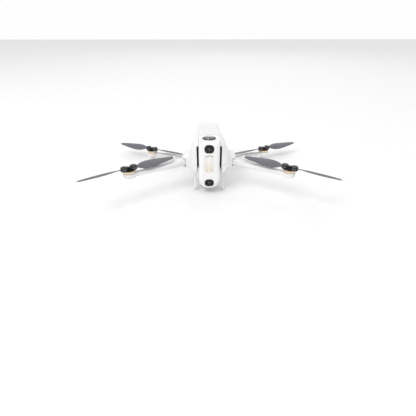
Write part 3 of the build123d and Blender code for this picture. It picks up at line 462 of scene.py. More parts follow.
# %% [markdown]
# ### Metals
#
# The motor bells are anodised in a warm champagne colour and turned, so they carry lathe rings. The
# screws and pins are plain steel, the motor cores are stacked steel sheet, and the tray inside is
# stamped aluminium. A metal's colour is all in its reflection, so Metallic is 1 and the tint is gentle.

# %% Metal materials
def turned_metal(name, light, dark, rough_low, rough_high, attribute=None, rings=9000.0):
    """Metal with lathe rings round an axis."""
    material, tree, shader = bare_material(name, Metallic=1.0)
    vector = place_vector(tree, attribute)
    rings_node = group_node(tree, rings_group, vector, Rings=rings)
    marks = group_node(tree, marks_group, vector, Polished=rough_low, Dull=rough_high)
    tint = group_node(tree, tint_group, First=(*light, 1), Second=(*dark, 1))
    tree.links.new(rings_node.outputs["Bands"], tint.inputs["Mask"])
    tree.links.new(tint.outputs["Color"], shader.inputs["Base Color"])
    tree.links.new(marks.outputs["Roughness"], shader.inputs["Roughness"])
    add_bump(tree, shader, rings_node.outputs["Height"], 0.35, 0.00003)
    return material


finish["bell_metal"] = turned_metal(
    "champagne_anodised", (0.80, 0.66, 0.50), (0.70, 0.56, 0.41), 0.2, 0.34, "rotor_place"
)
finish["steel"] = turned_metal(
    "bright_steel", (0.72, 0.71, 0.70), (0.58, 0.58, 0.58), 0.16, 0.3, rings=14000.0
)
finish["stator"] = turned_metal("core_steel", (0.30, 0.30, 0.31), (0.20, 0.20, 0.21), 0.3, 0.5, rings=20000.0)
finish["frame_metal"] = turned_metal(
    "stamped_aluminium", (0.66, 0.67, 0.68), (0.56, 0.57, 0.58), 0.3, 0.45, rings=700.0
)
print("metals", [finish[k].name for k in ("bell_metal", "steel", "stator", "frame_metal")])

# %% [markdown]
# ### Circuit board and battery cells
#
# These are inside and are seen only when a part is taken off or moved, but every part gets its finish.
# The board is green lacquer over copper tracks, drawn with a brick texture whose mortar is the tracks.
# The cells are wrapped in a silvery film with a slightly crumpled surface.

# %% Board and cell materials
board_material, tree, shader = bare_material("green_board", Coat_Weight=0.5, Coat_Roughness=0.15)
vector = place_vector(tree)
tracks = tree.nodes.new("ShaderNodeTexBrick")
tracks.inputs["Scale"].default_value = 420.0
tracks.inputs["Mortar Size"].default_value = 0.03
tree.links.new(vector, tracks.inputs["Vector"])
BOARD_COLOURS = {"Color1": (0.012, 0.09, 0.04), "Color2": (0.014, 0.105, 0.048), "Mortar": (0.05, 0.2, 0.09)}
for label, colour in BOARD_COLOURS.items():
    tracks.inputs[label].default_value = (*colour, 1)
tree.links.new(tracks.outputs["Color"], shader.inputs["Base Color"])
marks = group_node(tree, marks_group, vector, Polished=0.25, Dull=0.45)
tree.links.new(marks.outputs["Roughness"], shader.inputs["Roughness"])
add_bump(tree, shader, tracks.outputs["Fac"], 0.4, 0.00005)
finish["board"] = board_material
finish["cells"] = moulded(
    "silver_film", (0.62, 0.64, 0.67), (0.5, 0.52, 0.56), 0.18, 0.36,
    grain=240.0, relief=0.0002, Metallic=0.85,
)[0]
print("board and cells done")

# %% [markdown]
# ### Lens glass, coated lenses, copper and lamps
#
# The two fisheye domes are clear glass: light has to pass them and show the black barrel and the coated
# lens inside, so the shader uses Transmission with the index of optical glass. The inner lens is nearly
# black with a violet-green sheen from its coating. A coloured coat gives part of it; the rest is painted
# sheen, a faint violet in the lens's near-black colour. Copper wire and the lamp windows finish the list.

# %% Glass, lens, copper and lamp materials
glass_material, tree, shader = bare_material(
    "dome_glass", Transmission_Weight=1.0, IOR=1.5, Coat_Weight=0.3, Coat_Roughness=0.02
)
shader.inputs["Base Color"].default_value = (0.95, 0.96, 0.97, 1)
marks = group_node(tree, marks_group, place_vector(tree), Polished=0.0, Dull=0.03)
tree.links.new(marks.outputs["Roughness"], shader.inputs["Roughness"])
finish["lens_glass"] = glass_material

coated_material, tree, shader = bare_material(
    "coated_lens", Coat_Weight=1.0, Coat_Roughness=0.02, Coat_IOR=1.8, Specular_IOR_Level=0.8
)
shader.inputs["Coat Tint"].default_value = (0.75, 0.65, 1.0, 1)
vector = place_vector(tree)
# painted sheen: the faint violet in these two near-black colours stands in for the coating's reflection
tint = group_node(tree, tint_group, First=(0.010, 0.006, 0.02, 1), Second=(0.02, 0.012, 0.05, 1))
tree.links.new(noise_node(tree, vector, 180.0), tint.inputs["Mask"])
tree.links.new(tint.outputs["Color"], shader.inputs["Base Color"])
marks = group_node(tree, marks_group, vector, Polished=0.02, Dull=0.06)
tree.links.new(marks.outputs["Roughness"], shader.inputs["Roughness"])
finish["coated_lens"] = coated_material

copper_material, tree, shader = bare_material("enamelled_copper", Metallic=1.0, Coat_Weight=0.6)
vector = place_vector(tree)
turns = tree.nodes.new("ShaderNodeTexWave")
turns.inputs["Scale"].default_value = 900.0
turns.inputs["Distortion"].default_value = 0.6
turns.bands_direction = "Z"
tree.links.new(vector, turns.inputs["Vector"])
tint = group_node(tree, tint_group, First=(0.45, 0.16, 0.06, 1), Second=(0.78, 0.36, 0.17, 1))
tree.links.new(turns.outputs["Fac"], tint.inputs["Mask"])
tree.links.new(tint.outputs["Color"], shader.inputs["Base Color"])
marks = group_node(tree, marks_group, vector, Polished=0.25, Dull=0.4)
tree.links.new(marks.outputs["Roughness"], shader.inputs["Roughness"])
add_bump(tree, shader, turns.outputs["Fac"], 0.8, 0.0001)
finish["copper"] = copper_material

finish["lamp"] = moulded(
    "lamp_window", (0.78, 0.80, 0.80), (0.68, 0.72, 0.72), 0.15, 0.25,
    relief=0.000004, Coat_Weight=0.8, Coat_Roughness=0.05,
)[0]
print(len(finish), "finishes in all")

# %% [markdown]
# ## From facets to mouldings
#
# Each mechanical part arrives as loose triangles, which would shine like cut glass. The parts themselves
# are left alone: a copy of each is taken, its doubled points are merged, and its faces are shaded smooth
# wherever they meet at less than a set angle. A weighted-normal modifier then keeps the large flat faces
# flat right up to their rounded edges. The copy stands for the part and rides on the same body.

# %% Helpers for pieces
MERGE_DISTANCE = 0.000002
SMOOTH_ANGLE = 32.0         # degrees


def alone(piece):
    """Selects one piece and nothing else, and makes it the active one."""
    bpy.ops.object.select_all(action="DESELECT")
    piece.select_set(True)
    bpy.context.view_layer.objects.active = piece


def dress(piece, body, material):
    """Gives a finished piece its material, and lets it ride on its body."""
    piece.data.materials.clear()
    piece.data.materials.append(finish[material])
    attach(piece, body)
    return piece


def smooth_copy(node, material):
    """A merged, smoothly shaded copy of a mechanical part, which stands for it."""
    piece = bpy.data.objects.new(node + "_surface", nodes[node].data.copy())
    bpy.context.scene.collection.objects.link(piece)
    alone(piece)
    bpy.ops.object.mode_set(mode="EDIT")
    bpy.ops.mesh.select_all(action="SELECT")
    bpy.ops.mesh.remove_doubles(threshold=MERGE_DISTANCE)
    bpy.ops.object.mode_set(mode="OBJECT")
    bpy.ops.object.shade_smooth_by_angle(angle=radians(SMOOTH_ANGLE))
    weigh = piece.modifiers.new("weighted normals", "WEIGHTED_NORMAL")
    weigh.keep_sharp = True
    bpy.ops.object.modifier_apply(modifier=weigh.name)
    dress(piece, body_of_node[node], material)
    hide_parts(node)
    return piece


print("helpers for pieces ready")

# %% [markdown]
# ### Which part gets which finish
#
# One table says it for the whole drone. The parts that can be seen, at rest or when something is folded,
# slid out or opened, get a smooth copy, and so do the parts inside. Only the glass domes are left out,
# because they are made anew further on.

# %% Smooth copies of the visible parts
SIDES = ("right", "left")
ROWS = ("front", "rear")
FINISHES = {
    "white_shell": ["upper_shell", "lower_shell", "battery_case", "port_cover"]
    + ["battery_latch_" + side for side in SIDES],
    "white_pod": ["pod_face", "pod_housing"],
    "white_arm": [f"arm_{row}_{side}" for row in ROWS for side in SIDES] + ["leg_" + side for side in SIDES],
    "inlay": ["pod_inlay"],
    "black_gloss": ["vision_windows", "belly_window"],
    "black_plastic": ["intake_trims", "vent_grilles", "lens_rings", "lens_barrels"]
    + ["fan_housing", "fan_rotor", "port_block"]
    + [f"hub_{row}_{side}" for row in ROWS for side in SIDES],
    "rubber": ["pod_dampers"],
    "bell_metal": [f"bell_{row}_{side}" for row in ROWS for side in SIDES],
    "stator": [f"stator_{row}_{side}" for row in ROWS for side in SIDES],
    "steel": ["hinge_pins", "body_screws"] + [f"hub_screws_{row}_{side}" for row in ROWS for side in SIDES],
    "blade": [f"blade_{row}_{end}_{side}" for row in ROWS for end in ("outer", "inner") for side in SIDES],
    "frame_metal": ["inner_frame", "heat_sink"],
    "board": ["main_board"],
    "cells": ["battery_cells"],
}
surface = {}
for slot_name, members in FINISHES.items():
    for node in members:
        surface[node] = smooth_copy(node, slot_name)
surface["power_button"] = smooth_copy("power_button", "black_plastic")
for side in SIDES:
    surface["rear_foot_" + side] = smooth_copy("rear_foot_" + side, "pale_rubber")
print(len(surface), "smooth copies")

# %% [markdown]
# ### Finishes on the mechanical parts themselves
#
# The parts under the copies are not shown, but they carry the same finishes, so that none is left bare.

# %% Materials on the mechanical parts
for part in nodes.values():
    part.data.materials.clear()
    part.data.materials.append(finish["black_plastic"])
for slot_name, members in FINISHES.items():
    for node in members:
        nodes[node].data.materials[0] = finish[slot_name]
nodes["lens_domes"].data.materials[0] = finish["lens_glass"]
print(len(nodes), "parts have their finish")

# %% [markdown]
# ### Places on the rotors
#
# The blade and bell materials need to know where a point is on its own rotor. That is stored on each mesh
# as a vector attribute: the distance out along the blade, the distance across it, and the height. The
# rotor's axis is the middle of its bell, and a blade's direction is found from the far end of its mesh.

# %% Store each point's place on its rotor
def middle_of(node):
    """Middle of a part's box."""
    low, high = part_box(node)
    return (low + high) / 2


def store_rotor_place(piece, axis, turn):
    """Writes each point's place, measured from the axis along a direction turned by an angle."""
    back = Matrix.Rotation(-turn, 4, "Z") @ Matrix.Translation(-axis)
    layer = piece.data.attributes.new("rotor_place", "FLOAT_VECTOR", "POINT")
    places = []
    for vertex in piece.data.vertices:
        places.extend(back @ vertex.co)
    layer.data.foreach_set("vector", places)


rotor_axis = {}
rotor_turn = {}
for row in ROWS:
    for side in SIDES:
        axis = middle_of(f"bell_{row}_{side}")
        rotor_axis[row, side] = axis
        for end in ("outer", "inner"):
            blade = surface[f"blade_{row}_{end}_{side}"]
            points = [vertex.co for vertex in blade.data.vertices]
            far = max(points, key=lambda co: hypot(co.x - axis.x, co.y - axis.y))
            turn = atan2(far.y - axis.y, far.x - axis.x)
            store_rotor_place(blade, axis, turn)
            if end == "outer":
                rotor_turn[row, side] = turn
        store_rotor_place(surface[f"bell_{row}_{side}"], axis, rotor_turn[row, side])
print({key: round(degrees(turn), 1) for key, turn in rotor_turn.items()})

# %% [markdown]
# ## Tools for the small pieces
#
# The small pieces below are made as by hand: a primitive is added at its size, its faces are picked by
# where they are or which way they look, and they are inset, extruded or bevelled. Finished pieces have
# their place applied, so that they sit at the origin as the mechanical parts do. Where a piece has to lie
# on a curved skin, a ray is cast at the skin to find the point and the direction it faces.

# %% Helpers for small pieces
UP = Vector((0, 0, 1))
BACKWARD = Vector((0, 1, 0))
airframe = "airframe"


def pick(piece, mode, test):
    """In edit mode, selects the vertices, edges or faces that pass a test."""
    bpy.ops.mesh.select_mode(type=mode)
    bpy.ops.mesh.select_all(action="DESELECT")
    net = bmesh.from_edit_mesh(piece.data)
    for item in {"VERT": net.verts, "EDGE": net.edges, "FACE": net.faces}[mode]:
        item.select_set(test(item))
    net.select_flush_mode()
    bmesh.update_edit_mesh(piece.data)


def start_piece(name):
    """Names the primitive just added, and enters edit mode on it."""
    piece = bpy.context.active_object
    piece.name = piece.data.name = name
    alone(piece)
    bpy.ops.object.mode_set(mode="EDIT")
    return piece


def settle(piece, smooth=35.0):
    """Leaves edit mode, applies the piece's place, and shades it."""
    bpy.ops.object.mode_set(mode="OBJECT")
    alone(piece)
    bpy.ops.object.transform_apply(location=True, rotation=True, scale=True)
    bpy.ops.object.shade_smooth_by_angle(angle=radians(smooth))
    return piece


def aim(piece, place, facing_way):
    """Moves a piece drawn at the origin and facing +Z, so that it lies at a place and faces a way."""
    turn = facing_way.to_track_quat("Z", "Y").to_matrix().to_4x4()
    piece.matrix_world = Matrix.Translation(place) @ turn
    alone(piece)
    bpy.ops.object.transform_apply(location=True, rotation=True, scale=True)
    return piece


def copy_piece(piece, name):
    """A copy of a piece with its own mesh."""
    twin = bpy.data.objects.new(name, piece.data.copy())
    twin.data.name = name
    bpy.context.scene.collection.objects.link(twin)
    return twin


def skin_point(node, start, way):
    """Where a ray meets a part's surface, and the way the surface faces there."""
    hit, place, normal, _ = surface[node].ray_cast(start, way)
    if not hit:
        raise ValueError(f"no surface of {node} from {list(start)}")
    return place, normal if normal.dot(way) < 0 else -normal


print("helpers for small pieces ready")

# %% [markdown]
# ## The two fisheye domes
#
# Each end of the pod carries a bulging glass dome. It could be drawn as a solid blob of glass, but a solid
# would magnify what is under it wrongly. The real dome is a thin meniscus, so it is cut from a sphere with
# bisect and given its wall with a Solidify modifier. Below it sits a stepped black baffle, made from a
# disc by insetting and sinking its face again and again, and in the middle a coated lens.

# %% Domes, baffles and inner lenses
DOME_RADIUS = 7.0 * MM      # at its rim
DOME_RISE = 3.8 * MM
DOME_WALL = 0.6 * MM
DOME_SEAT = 4.8 * MM        # from the dome's top down to the top of the barrel
BAFFLE_RADIUS = 6.5 * MM
BAFFLE_HEIGHT = 1.3 * MM
LENS_EYE_RADIUS = 5.0 * MM
LENS_EYE_CUT = 3.2 * MM     # height above the eye's centre at which it is cut
LENS_EYE_SINK = 0.6 * MM    # its rim, below the baffle's edge
BAFFLE_STEPS = 4
STEP_EDGE = 0.35 * MM
STEP_DEPTH = 0.22 * MM
STEP_LEDGE = 0.3 * MM

dome_sphere = (DOME_RADIUS**2 + DOME_RISE**2) / (2 * DOME_RISE)


def make_dome(name):
    """Thin glass dome facing +Z, its top at the origin."""
    bpy.ops.object.select_all(action="DESELECT")
    bpy.ops.mesh.primitive_uv_sphere_add(
        segments=64, ring_count=48, radius=dome_sphere, location=(0, 0, -dome_sphere)
    )
    dome = start_piece(name)
    bpy.ops.mesh.select_all(action="SELECT")
    bpy.ops.mesh.bisect(plane_co=(0, 0, -DOME_RISE), plane_no=(0, 0, 1), clear_inner=True)
    settle(dome, 60.0)
    wall = dome.modifiers.new("wall", "SOLIDIFY")
    wall.thickness = DOME_WALL
    wall.offset = -1
    bpy.ops.object.modifier_apply(modifier=wall.name)
    return dome


def make_baffle(name):
    """Stepped black disc facing +Z, with its foot at the origin."""
    bpy.ops.object.select_all(action="DESELECT")
    bpy.ops.mesh.primitive_cylinder_add(
        vertices=64, radius=BAFFLE_RADIUS, depth=BAFFLE_HEIGHT, location=(0, 0, BAFFLE_HEIGHT / 2)
    )
    baffle = start_piece(name)
    pick(baffle, "FACE", lambda face: face.normal.z > 0.9)
    for step in range(BAFFLE_STEPS):
        bpy.ops.mesh.inset(thickness=STEP_EDGE)
        bpy.ops.mesh.extrude_region_move(TRANSFORM_OT_translate={"value": (0, 0, -STEP_DEPTH)})
        bpy.ops.mesh.inset(thickness=STEP_LEDGE)
    return settle(baffle)


def make_inner_lens(name):
    """Coated lens cap facing +Z, cut from a sphere, with its rim at the origin."""
    bpy.ops.object.select_all(action="DESELECT")
    bpy.ops.mesh.primitive_uv_sphere_add(
        segments=48, ring_count=32, radius=LENS_EYE_RADIUS, location=(0, 0, -LENS_EYE_CUT)
    )
    eye = start_piece(name)
    bpy.ops.mesh.select_all(action="SELECT")
    bpy.ops.mesh.bisect(plane_co=(0, 0, 0), plane_no=(0, 0, 1), clear_inner=True, use_fill=True)
    return settle(eye, 50.0)


dome_low, dome_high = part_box("lens_domes")
lens_y = (dome_low.y + dome_high.y) / 2
for end, apex, way in (("top", dome_high.z, UP), ("bottom", dome_low.z, -UP)):
    seat = Vector((0, lens_y, apex)) - way * DOME_SEAT
    dome = aim(make_dome("lens_dome_" + end), Vector((0, lens_y, apex)), way)
    dress(dome, airframe, "lens_glass")
    if end == "top":
        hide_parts("lens_domes")
    dress(aim(make_baffle("lens_baffle_" + end), seat, way), airframe, "black_plastic")
    inner = aim(make_inner_lens("inner_lens_" + end), seat + way * (BAFFLE_HEIGHT - LENS_EYE_SINK), way)
    dress(inner, airframe, "coated_lens")
print("domes at", round(dome_high.z / MM, 1), "and", round(dome_low.z / MM, 1))

# %% [markdown]
# ## Sensor eyes behind the black windows
#
# The drone finds its way with small cameras that look out of the black windows of the pod and down
# through one in the belly. Each is a shallow ring with a lens in it. One ring is made from a disc: its rim
# is bevelled and its face is inset and sunk, and the lens is a cap cut from a sphere. Both are then copied
# and aimed along the skin wherever an eye belongs.

# %% Sensor eyes
EYE_RADIUS = 2.7 * MM
EYE_HEIGHT = 0.7 * MM
EYE_PROUD = 0.22 * MM
EYE_RIM = 0.15 * MM
EYE_EDGE = 0.5 * MM
EYE_SINK = 0.3 * MM
EYE_LEDGE = 0.4 * MM
EYE_BALL_RADIUS = 2.4 * MM
EYE_BALL_DEPTH = 2.05 * MM  # the ball's centre, below the ring's face
EYE_CUT_DEPTH = 0.5 * MM
UPPER_EYE_DROP = 6.6 * MM
LOWER_EYE_RISE = 6.9 * MM
BELLY_EYE_INSET = 7 * MM
RAY_RUN = 0.05              # how far off a ray towards the skin starts

bpy.ops.object.select_all(action="DESELECT")
bpy.ops.mesh.primitive_cylinder_add(
    vertices=48, radius=EYE_RADIUS, depth=EYE_HEIGHT, location=(0, 0, -EYE_HEIGHT / 2)
)
eye_ring = start_piece("eye_ring")
pick(eye_ring, "EDGE", lambda edge: all(v.co.z > 0 for v in edge.verts))
bpy.ops.mesh.bevel(offset=EYE_RIM, segments=2)
pick(eye_ring, "FACE", lambda face: face.normal.z > 0.99)
bpy.ops.mesh.inset(thickness=EYE_EDGE)
bpy.ops.mesh.extrude_region_move(TRANSFORM_OT_translate={"value": (0, 0, -EYE_SINK)})
bpy.ops.mesh.inset(thickness=EYE_LEDGE)
settle(eye_ring)
bpy.ops.object.select_all(action="DESELECT")
bpy.ops.mesh.primitive_uv_sphere_add(
    segments=32, ring_count=24, radius=EYE_BALL_RADIUS, location=(0, 0, -EYE_BALL_DEPTH)
)
eye_lens = start_piece("eye_lens")
bpy.ops.mesh.select_all(action="SELECT")
bpy.ops.mesh.bisect(plane_co=(0, 0, -EYE_CUT_DEPTH), plane_no=(0, 0, 1), clear_inner=True, use_fill=True)
settle(eye_lens, 50.0)

belly_low, belly_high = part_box("belly_window")
window_low, window_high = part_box("vision_windows")
EYES = [
    # name, window, start of the ray, its way
    ("upper", "vision_windows", Vector((0, window_low.y - RAY_RUN, window_high.z - UPPER_EYE_DROP)), BACKWARD),
    ("lower", "vision_windows", Vector((0, window_low.y - RAY_RUN, window_low.z + LOWER_EYE_RISE)), BACKWARD),
    ("belly_front", "belly_window", Vector((0, belly_low.y + BELLY_EYE_INSET, -RAY_RUN)), UP),
    ("belly_back", "belly_window", Vector((0, belly_high.y - BELLY_EYE_INSET, -RAY_RUN)), UP),
]
for name, window, start, way in EYES:
    place, normal = skin_point(window, start, way)
    for part, slot_name, material in (
        (eye_ring, "black_plastic", "black_plastic"),
        (eye_lens, "lens_glass", "coated_lens"),
    ):
        twin = copy_piece(part, f"{part.name}_{name}")
        dress(aim(twin, place + normal * EYE_PROUD, normal), airframe, material)
for part in (eye_ring, eye_lens):
    bpy.data.objects.remove(part)
print(len(EYES), "eyes")

# %% [markdown]
# ## Grip ribs on the battery latches
#
# The battery is held by two spring latches that are squeezed between finger and thumb, so each has three
# fine ribs for grip. A rib is a small bar with bevelled edges. It is made once, and its copies are laid on
# the latch's skin and ride with the latch.

# %% Latch ribs
RIB = (0.9 * MM, 4.2 * MM, 0.55 * MM)   # thickness, length, width
RIB_PITCH = 1.7 * MM
RIB_PROUD = 0.22 * MM
RIB_ROUND = 0.18 * MM

bpy.ops.object.select_all(action="DESELECT")
bpy.ops.mesh.primitive_cube_add(size=1.0, location=(0, 0, 0))
rib = bpy.context.active_object
rib.dimensions = RIB
rib = start_piece("rib")
bpy.ops.object.mode_set(mode="OBJECT")
bpy.ops.object.transform_apply(location=True, rotation=True, scale=True)
bpy.ops.object.mode_set(mode="EDIT")
bpy.ops.mesh.select_all(action="SELECT")
bpy.ops.mesh.bevel(offset=RIB_ROUND, segments=3)
settle(rib)
for side, out in (("right", 1), ("left", -1)):
    node = "battery_latch_" + side
    latch_middle = middle_of(node)
    for level in (-1, 0, 1):
        start = latch_middle + Vector((out * RAY_RUN, 0, level * RIB_PITCH))
        place, normal = skin_point(node, start, Vector((-out, 0, 0)))
        twin = copy_piece(rib, f"latch_rib_{side}_{level + 2}")
        twin.location = place + Vector((out * (RIB_PROUD - RIB[0] / 2), 0, 0))
        alone(twin)
        bpy.ops.object.transform_apply(location=True, rotation=True, scale=True)
        dress(twin, node, "white_shell")
bpy.data.objects.remove(rib)
print("ribs on both latches")

# %% [markdown]
# ## Lamps
#
# Four small dots on top of the battery show its charge, a ring lights round the power button, and each
# motor cup has an outward signal lamp. All are discs of milky plastic with a rounded rim. They are off
# here, so they take the light like any other plastic.

# %% Lamp dots, button ring and arm lamps
def make_disc(name, radius, height, rim):
    """Rounded disc facing +Z, its top at the origin."""
    bpy.ops.object.select_all(action="DESELECT")
    bpy.ops.mesh.primitive_cylinder_add(vertices=40, radius=radius, depth=height, location=(0, 0, -height / 2))
    disc = start_piece(name)
    pick(disc, "EDGE", lambda edge: all(v.co.z > 0 for v in edge.verts))
    bpy.ops.mesh.bevel(offset=rim, segments=3)
    return settle(disc)


LAMP_PITCH = 4.0 * MM
LAMP_INSET = 8.5 * MM       # from the back of the battery
CHARGE_LAMP = (0.75 * MM, 0.5 * MM, 0.12 * MM)      # radius, height, rim
CHARGE_LAMP_PROUD = 0.1 * MM
ARM_LAMP = (1.5 * MM, 0.7 * MM, 0.2 * MM)
ARM_LAMP_PROUD = 0.12 * MM
ARM_LAMP_HEIGHT = 3.6 * MM  # above the foot of the motor's cup
FRONT_CUP_DEPTH = 7.2 * MM
ARM_LAMP_SPREAD = 1.2       # how far the lamps look to the front or back, to 1 sideways
ARM_RAY_RUN = 0.03
RING_RADIUS = 1.9 * MM
RING_WIRE = 0.16 * MM
RING_SINK = 0.05 * MM

battery_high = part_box("battery_case")[1]
for i in range(4):
    start = Vector(((i - 1.5) * LAMP_PITCH, battery_high.y - LAMP_INSET, 0.2))
    place, normal = skin_point("battery_case", start, -UP)
    dot = aim(make_disc(f"charge_lamp_{i + 1}", *CHARGE_LAMP), place + normal * CHARGE_LAMP_PROUD, normal)
    dress(dot, "battery", "lamp")

button_middle = middle_of("power_button")
button_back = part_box("power_button")[1].y
bpy.ops.object.select_all(action="DESELECT")
bpy.ops.mesh.primitive_torus_add(
    major_radius=RING_RADIUS, minor_radius=RING_WIRE, major_segments=48, minor_segments=10
)
ring = start_piece("button_ring")
settle(ring)
aim(ring, Vector((button_middle.x, button_back - RING_SINK, button_middle.z)), BACKWARD)
dress(ring, "power_button", "lamp")

for row in ROWS:
    for side in SIDES:
        node = f"arm_{row}_{side}"
        axis = rotor_axis[row, side]
        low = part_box(node)[0]
        cup_foot = low.z if row == "rear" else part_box(f"stator_{row}_{side}")[0].z - FRONT_CUP_DEPTH
        cup_z = cup_foot + ARM_LAMP_HEIGHT
        lengthways = -ARM_LAMP_SPREAD if row == "front" else ARM_LAMP_SPREAD
        outward = Vector((axis.x, lengthways * abs(axis.x), 0)).normalized()
        start = Vector((axis.x, axis.y, cup_z)) + outward * ARM_RAY_RUN
        place, normal = skin_point(node, start, -outward)
        disc = make_disc(f"arm_lamp_{row}_{side}", *ARM_LAMP)
        lamp = aim(disc, place + normal * ARM_LAMP_PROUD, normal)
        dress(lamp, node, "lamp")
print("lamps done")

# %% [markdown]
# ## Screws under the motors
#
# Each motor is held from below by four small socket screws. One head is a disc with a bevelled rim and a
# sunk socket. Copies are set round each motor's axis on the underside of its cup.

# %% Motor screws
SCREW_CIRCLE = 5.7 * MM
HEAD_RADIUS = 0.85 * MM
HEAD_HEIGHT = 0.6 * MM
HEAD_RIM = 0.12 * MM
SOCKET_EDGE = 0.3 * MM
SOCKET_DEPTH = 0.3 * MM
HEAD_PROUD = 0.05 * MM
UNDER_RUN = 0.02            # how far below the floor a ray up to the cup starts

bpy.ops.object.select_all(action="DESELECT")
bpy.ops.mesh.primitive_cylinder_add(
    vertices=24, radius=HEAD_RADIUS, depth=HEAD_HEIGHT, location=(0, 0, -HEAD_HEIGHT / 2)
)
head = start_piece("screw_head")
pick(head, "EDGE", lambda edge: all(v.co.z > 0 for v in edge.verts))
bpy.ops.mesh.bevel(offset=HEAD_RIM, segments=2)
pick(head, "FACE", lambda face: face.normal.z > 0.99)
bpy.ops.mesh.inset(thickness=SOCKET_EDGE)
bpy.ops.mesh.extrude_region_move(TRANSFORM_OT_translate={"value": (0, 0, -SOCKET_DEPTH)})
settle(head)
for row in ROWS:
    for side in SIDES:
        node = f"arm_{row}_{side}"
        axis = rotor_axis[row, side]
        for i in range(4):
            angle = radians(45 + 90 * i)
            round_axis = Vector((cos(angle), sin(angle), 0)) * SCREW_CIRCLE
            start = Vector((axis.x, axis.y, -UNDER_RUN)) + round_axis
            place, normal = skin_point(node, start, UP)
            twin = copy_piece(head, f"motor_screw_{row}_{side}_{i + 1}")
            dress(aim(twin, place - UP * HEAD_PROUD, -UP), node, "steel")
bpy.data.objects.remove(head)
print("16 motor screws")

# %% [markdown]
# ## Copper windings
#
# Through the holes in the bell's top the copper coils of the motor show. One coil is a cube with its
# edges rounded by a bevel, and spin repeats it nine times round the shaft.

# %% Copper windings
COIL_RADIUS = 3.9 * MM
COIL_SIZE = (2.5 * MM, 2.4 * MM, 2.3 * MM)
COIL_HEIGHT = 1.9 * MM      # its middle, above the stator's foot
COIL_ROUND = 0.5 * MM
COILS = 9

for row in ROWS:
    for side in SIDES:
        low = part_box(f"stator_{row}_{side}")[0]
        axis = rotor_axis[row, side]
        bpy.ops.object.select_all(action="DESELECT")
        bpy.ops.mesh.primitive_cube_add(size=1.0)
        coil = bpy.context.active_object
        coil.dimensions = COIL_SIZE
        coil.location = (COIL_RADIUS, 0, COIL_HEIGHT)
        bpy.ops.object.transform_apply(location=True, rotation=True, scale=True)
        coil = start_piece(f"windings_{row}_{side}")
        bpy.ops.mesh.select_all(action="SELECT")
        bpy.ops.mesh.bevel(offset=COIL_ROUND, segments=3)
        bpy.ops.mesh.select_all(action="SELECT")
        bpy.ops.mesh.spin(steps=COILS, dupli=True, angle=2 * pi, center=(0, 0, 0), axis=(0, 0, 1))
        bpy.ops.mesh.select_all(action="SELECT")
        bpy.ops.mesh.remove_doubles(threshold=0.01 * MM)
        settle(coil)
        aim(coil, Vector((axis.x, axis.y, low.z)), UP)
        dress(coil, f"arm_{row}_{side}", "copper")
print("windings in four motors")

# %% [markdown]
# ## Rubber shoes on the front legs
#
# The thin legs end in soft shoes, so that the drone does not slide. A shoe has to follow the leg's
# outline, so it is made from a copy of the leg: the copy is cut off just above the foot with bisect, and
# its faces are moved a little outwards, all but the sole.

# %% Leg shoes
SHOE_HEIGHT = 3.4 * MM
SHOE_WALL = 0.25 * MM

for side in SIDES:
    shoe = copy_piece(surface["leg_" + side], "leg_shoe_" + side)
    alone(shoe)
    bpy.ops.object.mode_set(mode="EDIT")
    bpy.ops.mesh.select_all(action="SELECT")
    bpy.ops.mesh.bisect(plane_co=(0, 0, SHOE_HEIGHT), plane_no=(0, 0, 1), clear_outer=True, use_fill=True)
    bpy.ops.mesh.select_all(action="SELECT")
    bpy.ops.transform.shrink_fatten(value=SHOE_WALL)
    for vertex in bmesh.from_edit_mesh(shoe.data).verts:
        vertex.co.z = max(vertex.co.z, 0.0)
    bmesh.update_edit_mesh(shoe.data)
    settle(shoe)
    dress(shoe, "leg_" + side, "pale_rubber")
print("two shoes")

# %% [markdown]
# ## Trim on the pod's inlay
#
# The cream panel down the face has a fine arched line at its top and two small dark ports near its foot.
# The arch is a small square profile spun part of a turn, and the ports are small rounded discs.

# %% Inlay arch and ports
inlay_low, inlay_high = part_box("pod_inlay")
ARCH_RADIUS = 9.0 * MM
ARCH_HALF_ANGLE = 36.0
ARCH_LINE = 0.5 * MM
ARCH_DROP = 1.8 * MM        # the arch's crown, below the inlay's top
ARCH_SINK = 0.1 * MM
PORT = (0.7 * MM, 0.5 * MM, 0.1 * MM)   # radius, height, rim
PORT_PLACE = (3.5 * MM, 3.0 * MM)       # from the middle, and above the inlay's foot
PORT_PROUD = 0.06 * MM

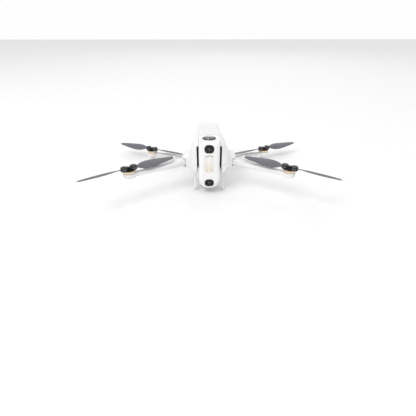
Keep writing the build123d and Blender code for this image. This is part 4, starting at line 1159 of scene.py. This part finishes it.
bpy.ops.object.select_all(action="DESELECT")
bpy.ops.mesh.primitive_plane_add(size=ARCH_LINE)
arch = start_piece("inlay_arch")
bpy.ops.mesh.select_all(action="SELECT")
bpy.ops.transform.rotate(value=pi / 2, orient_axis="X", center_override=(0, 0, 0))
bpy.ops.transform.translate(value=(ARCH_RADIUS, 0, 0))
bpy.ops.mesh.spin(steps=24, angle=radians(2 * ARCH_HALF_ANGLE), center=(0, 0, 0), axis=(0, 0, 1))
bpy.ops.mesh.select_all(action="SELECT")
bpy.ops.mesh.normals_make_consistent(inside=False)
settle(arch, 50.0)
arch_turn = Matrix.Rotation(radians(90), 4, "X") @ Matrix.Rotation(radians(90 + ARCH_HALF_ANGLE), 4, "Z")
arch_place = (0, inlay_low.y + ARCH_SINK, inlay_high.z - ARCH_DROP - ARCH_RADIUS)
arch.matrix_world = Matrix.Translation(arch_place) @ arch_turn
alone(arch)
bpy.ops.object.transform_apply(location=True, rotation=True, scale=True)
dress(arch, airframe, "black_plastic")
for side, out in (("right", 1), ("left", -1)):
    start = Vector((out * PORT_PLACE[0], inlay_low.y - RAY_RUN, inlay_low.z + PORT_PLACE[1]))
    place, normal = skin_point("pod_inlay", start, BACKWARD)
    port = aim(make_disc("inlay_port_" + side, *PORT), place + normal * PORT_PROUD, normal)
    dress(port, airframe, "black_plastic")
print("arch and ports on the inlay")

# %% [markdown]
# ## The floor
#
# The drone stands on a plain pale floor, large enough that its edge is never in view. It is not part of the
# object.

# %% Floor
FLOOR_SIZE = 8.0
FLOOR_DROP = 0.00005        # below the feet, so that the two do not share a plane

bpy.ops.object.select_all(action="DESELECT")
bpy.ops.mesh.primitive_plane_add(size=FLOOR_SIZE, location=(0, 0, frame_box[0].z - FLOOR_DROP))
floor = bpy.context.active_object
floor.name = "floor"
bpy.ops.object.transform_apply(location=True, rotation=True, scale=True)
floor_finish = moulded("pale_floor", (0.90, 0.90, 0.90), (0.885, 0.885, 0.885), 0.7, 0.8, relief=0.000001)[0]
floor.data.materials.append(floor_finish)
print("floor at", floor.data.vertices[0].co.z)
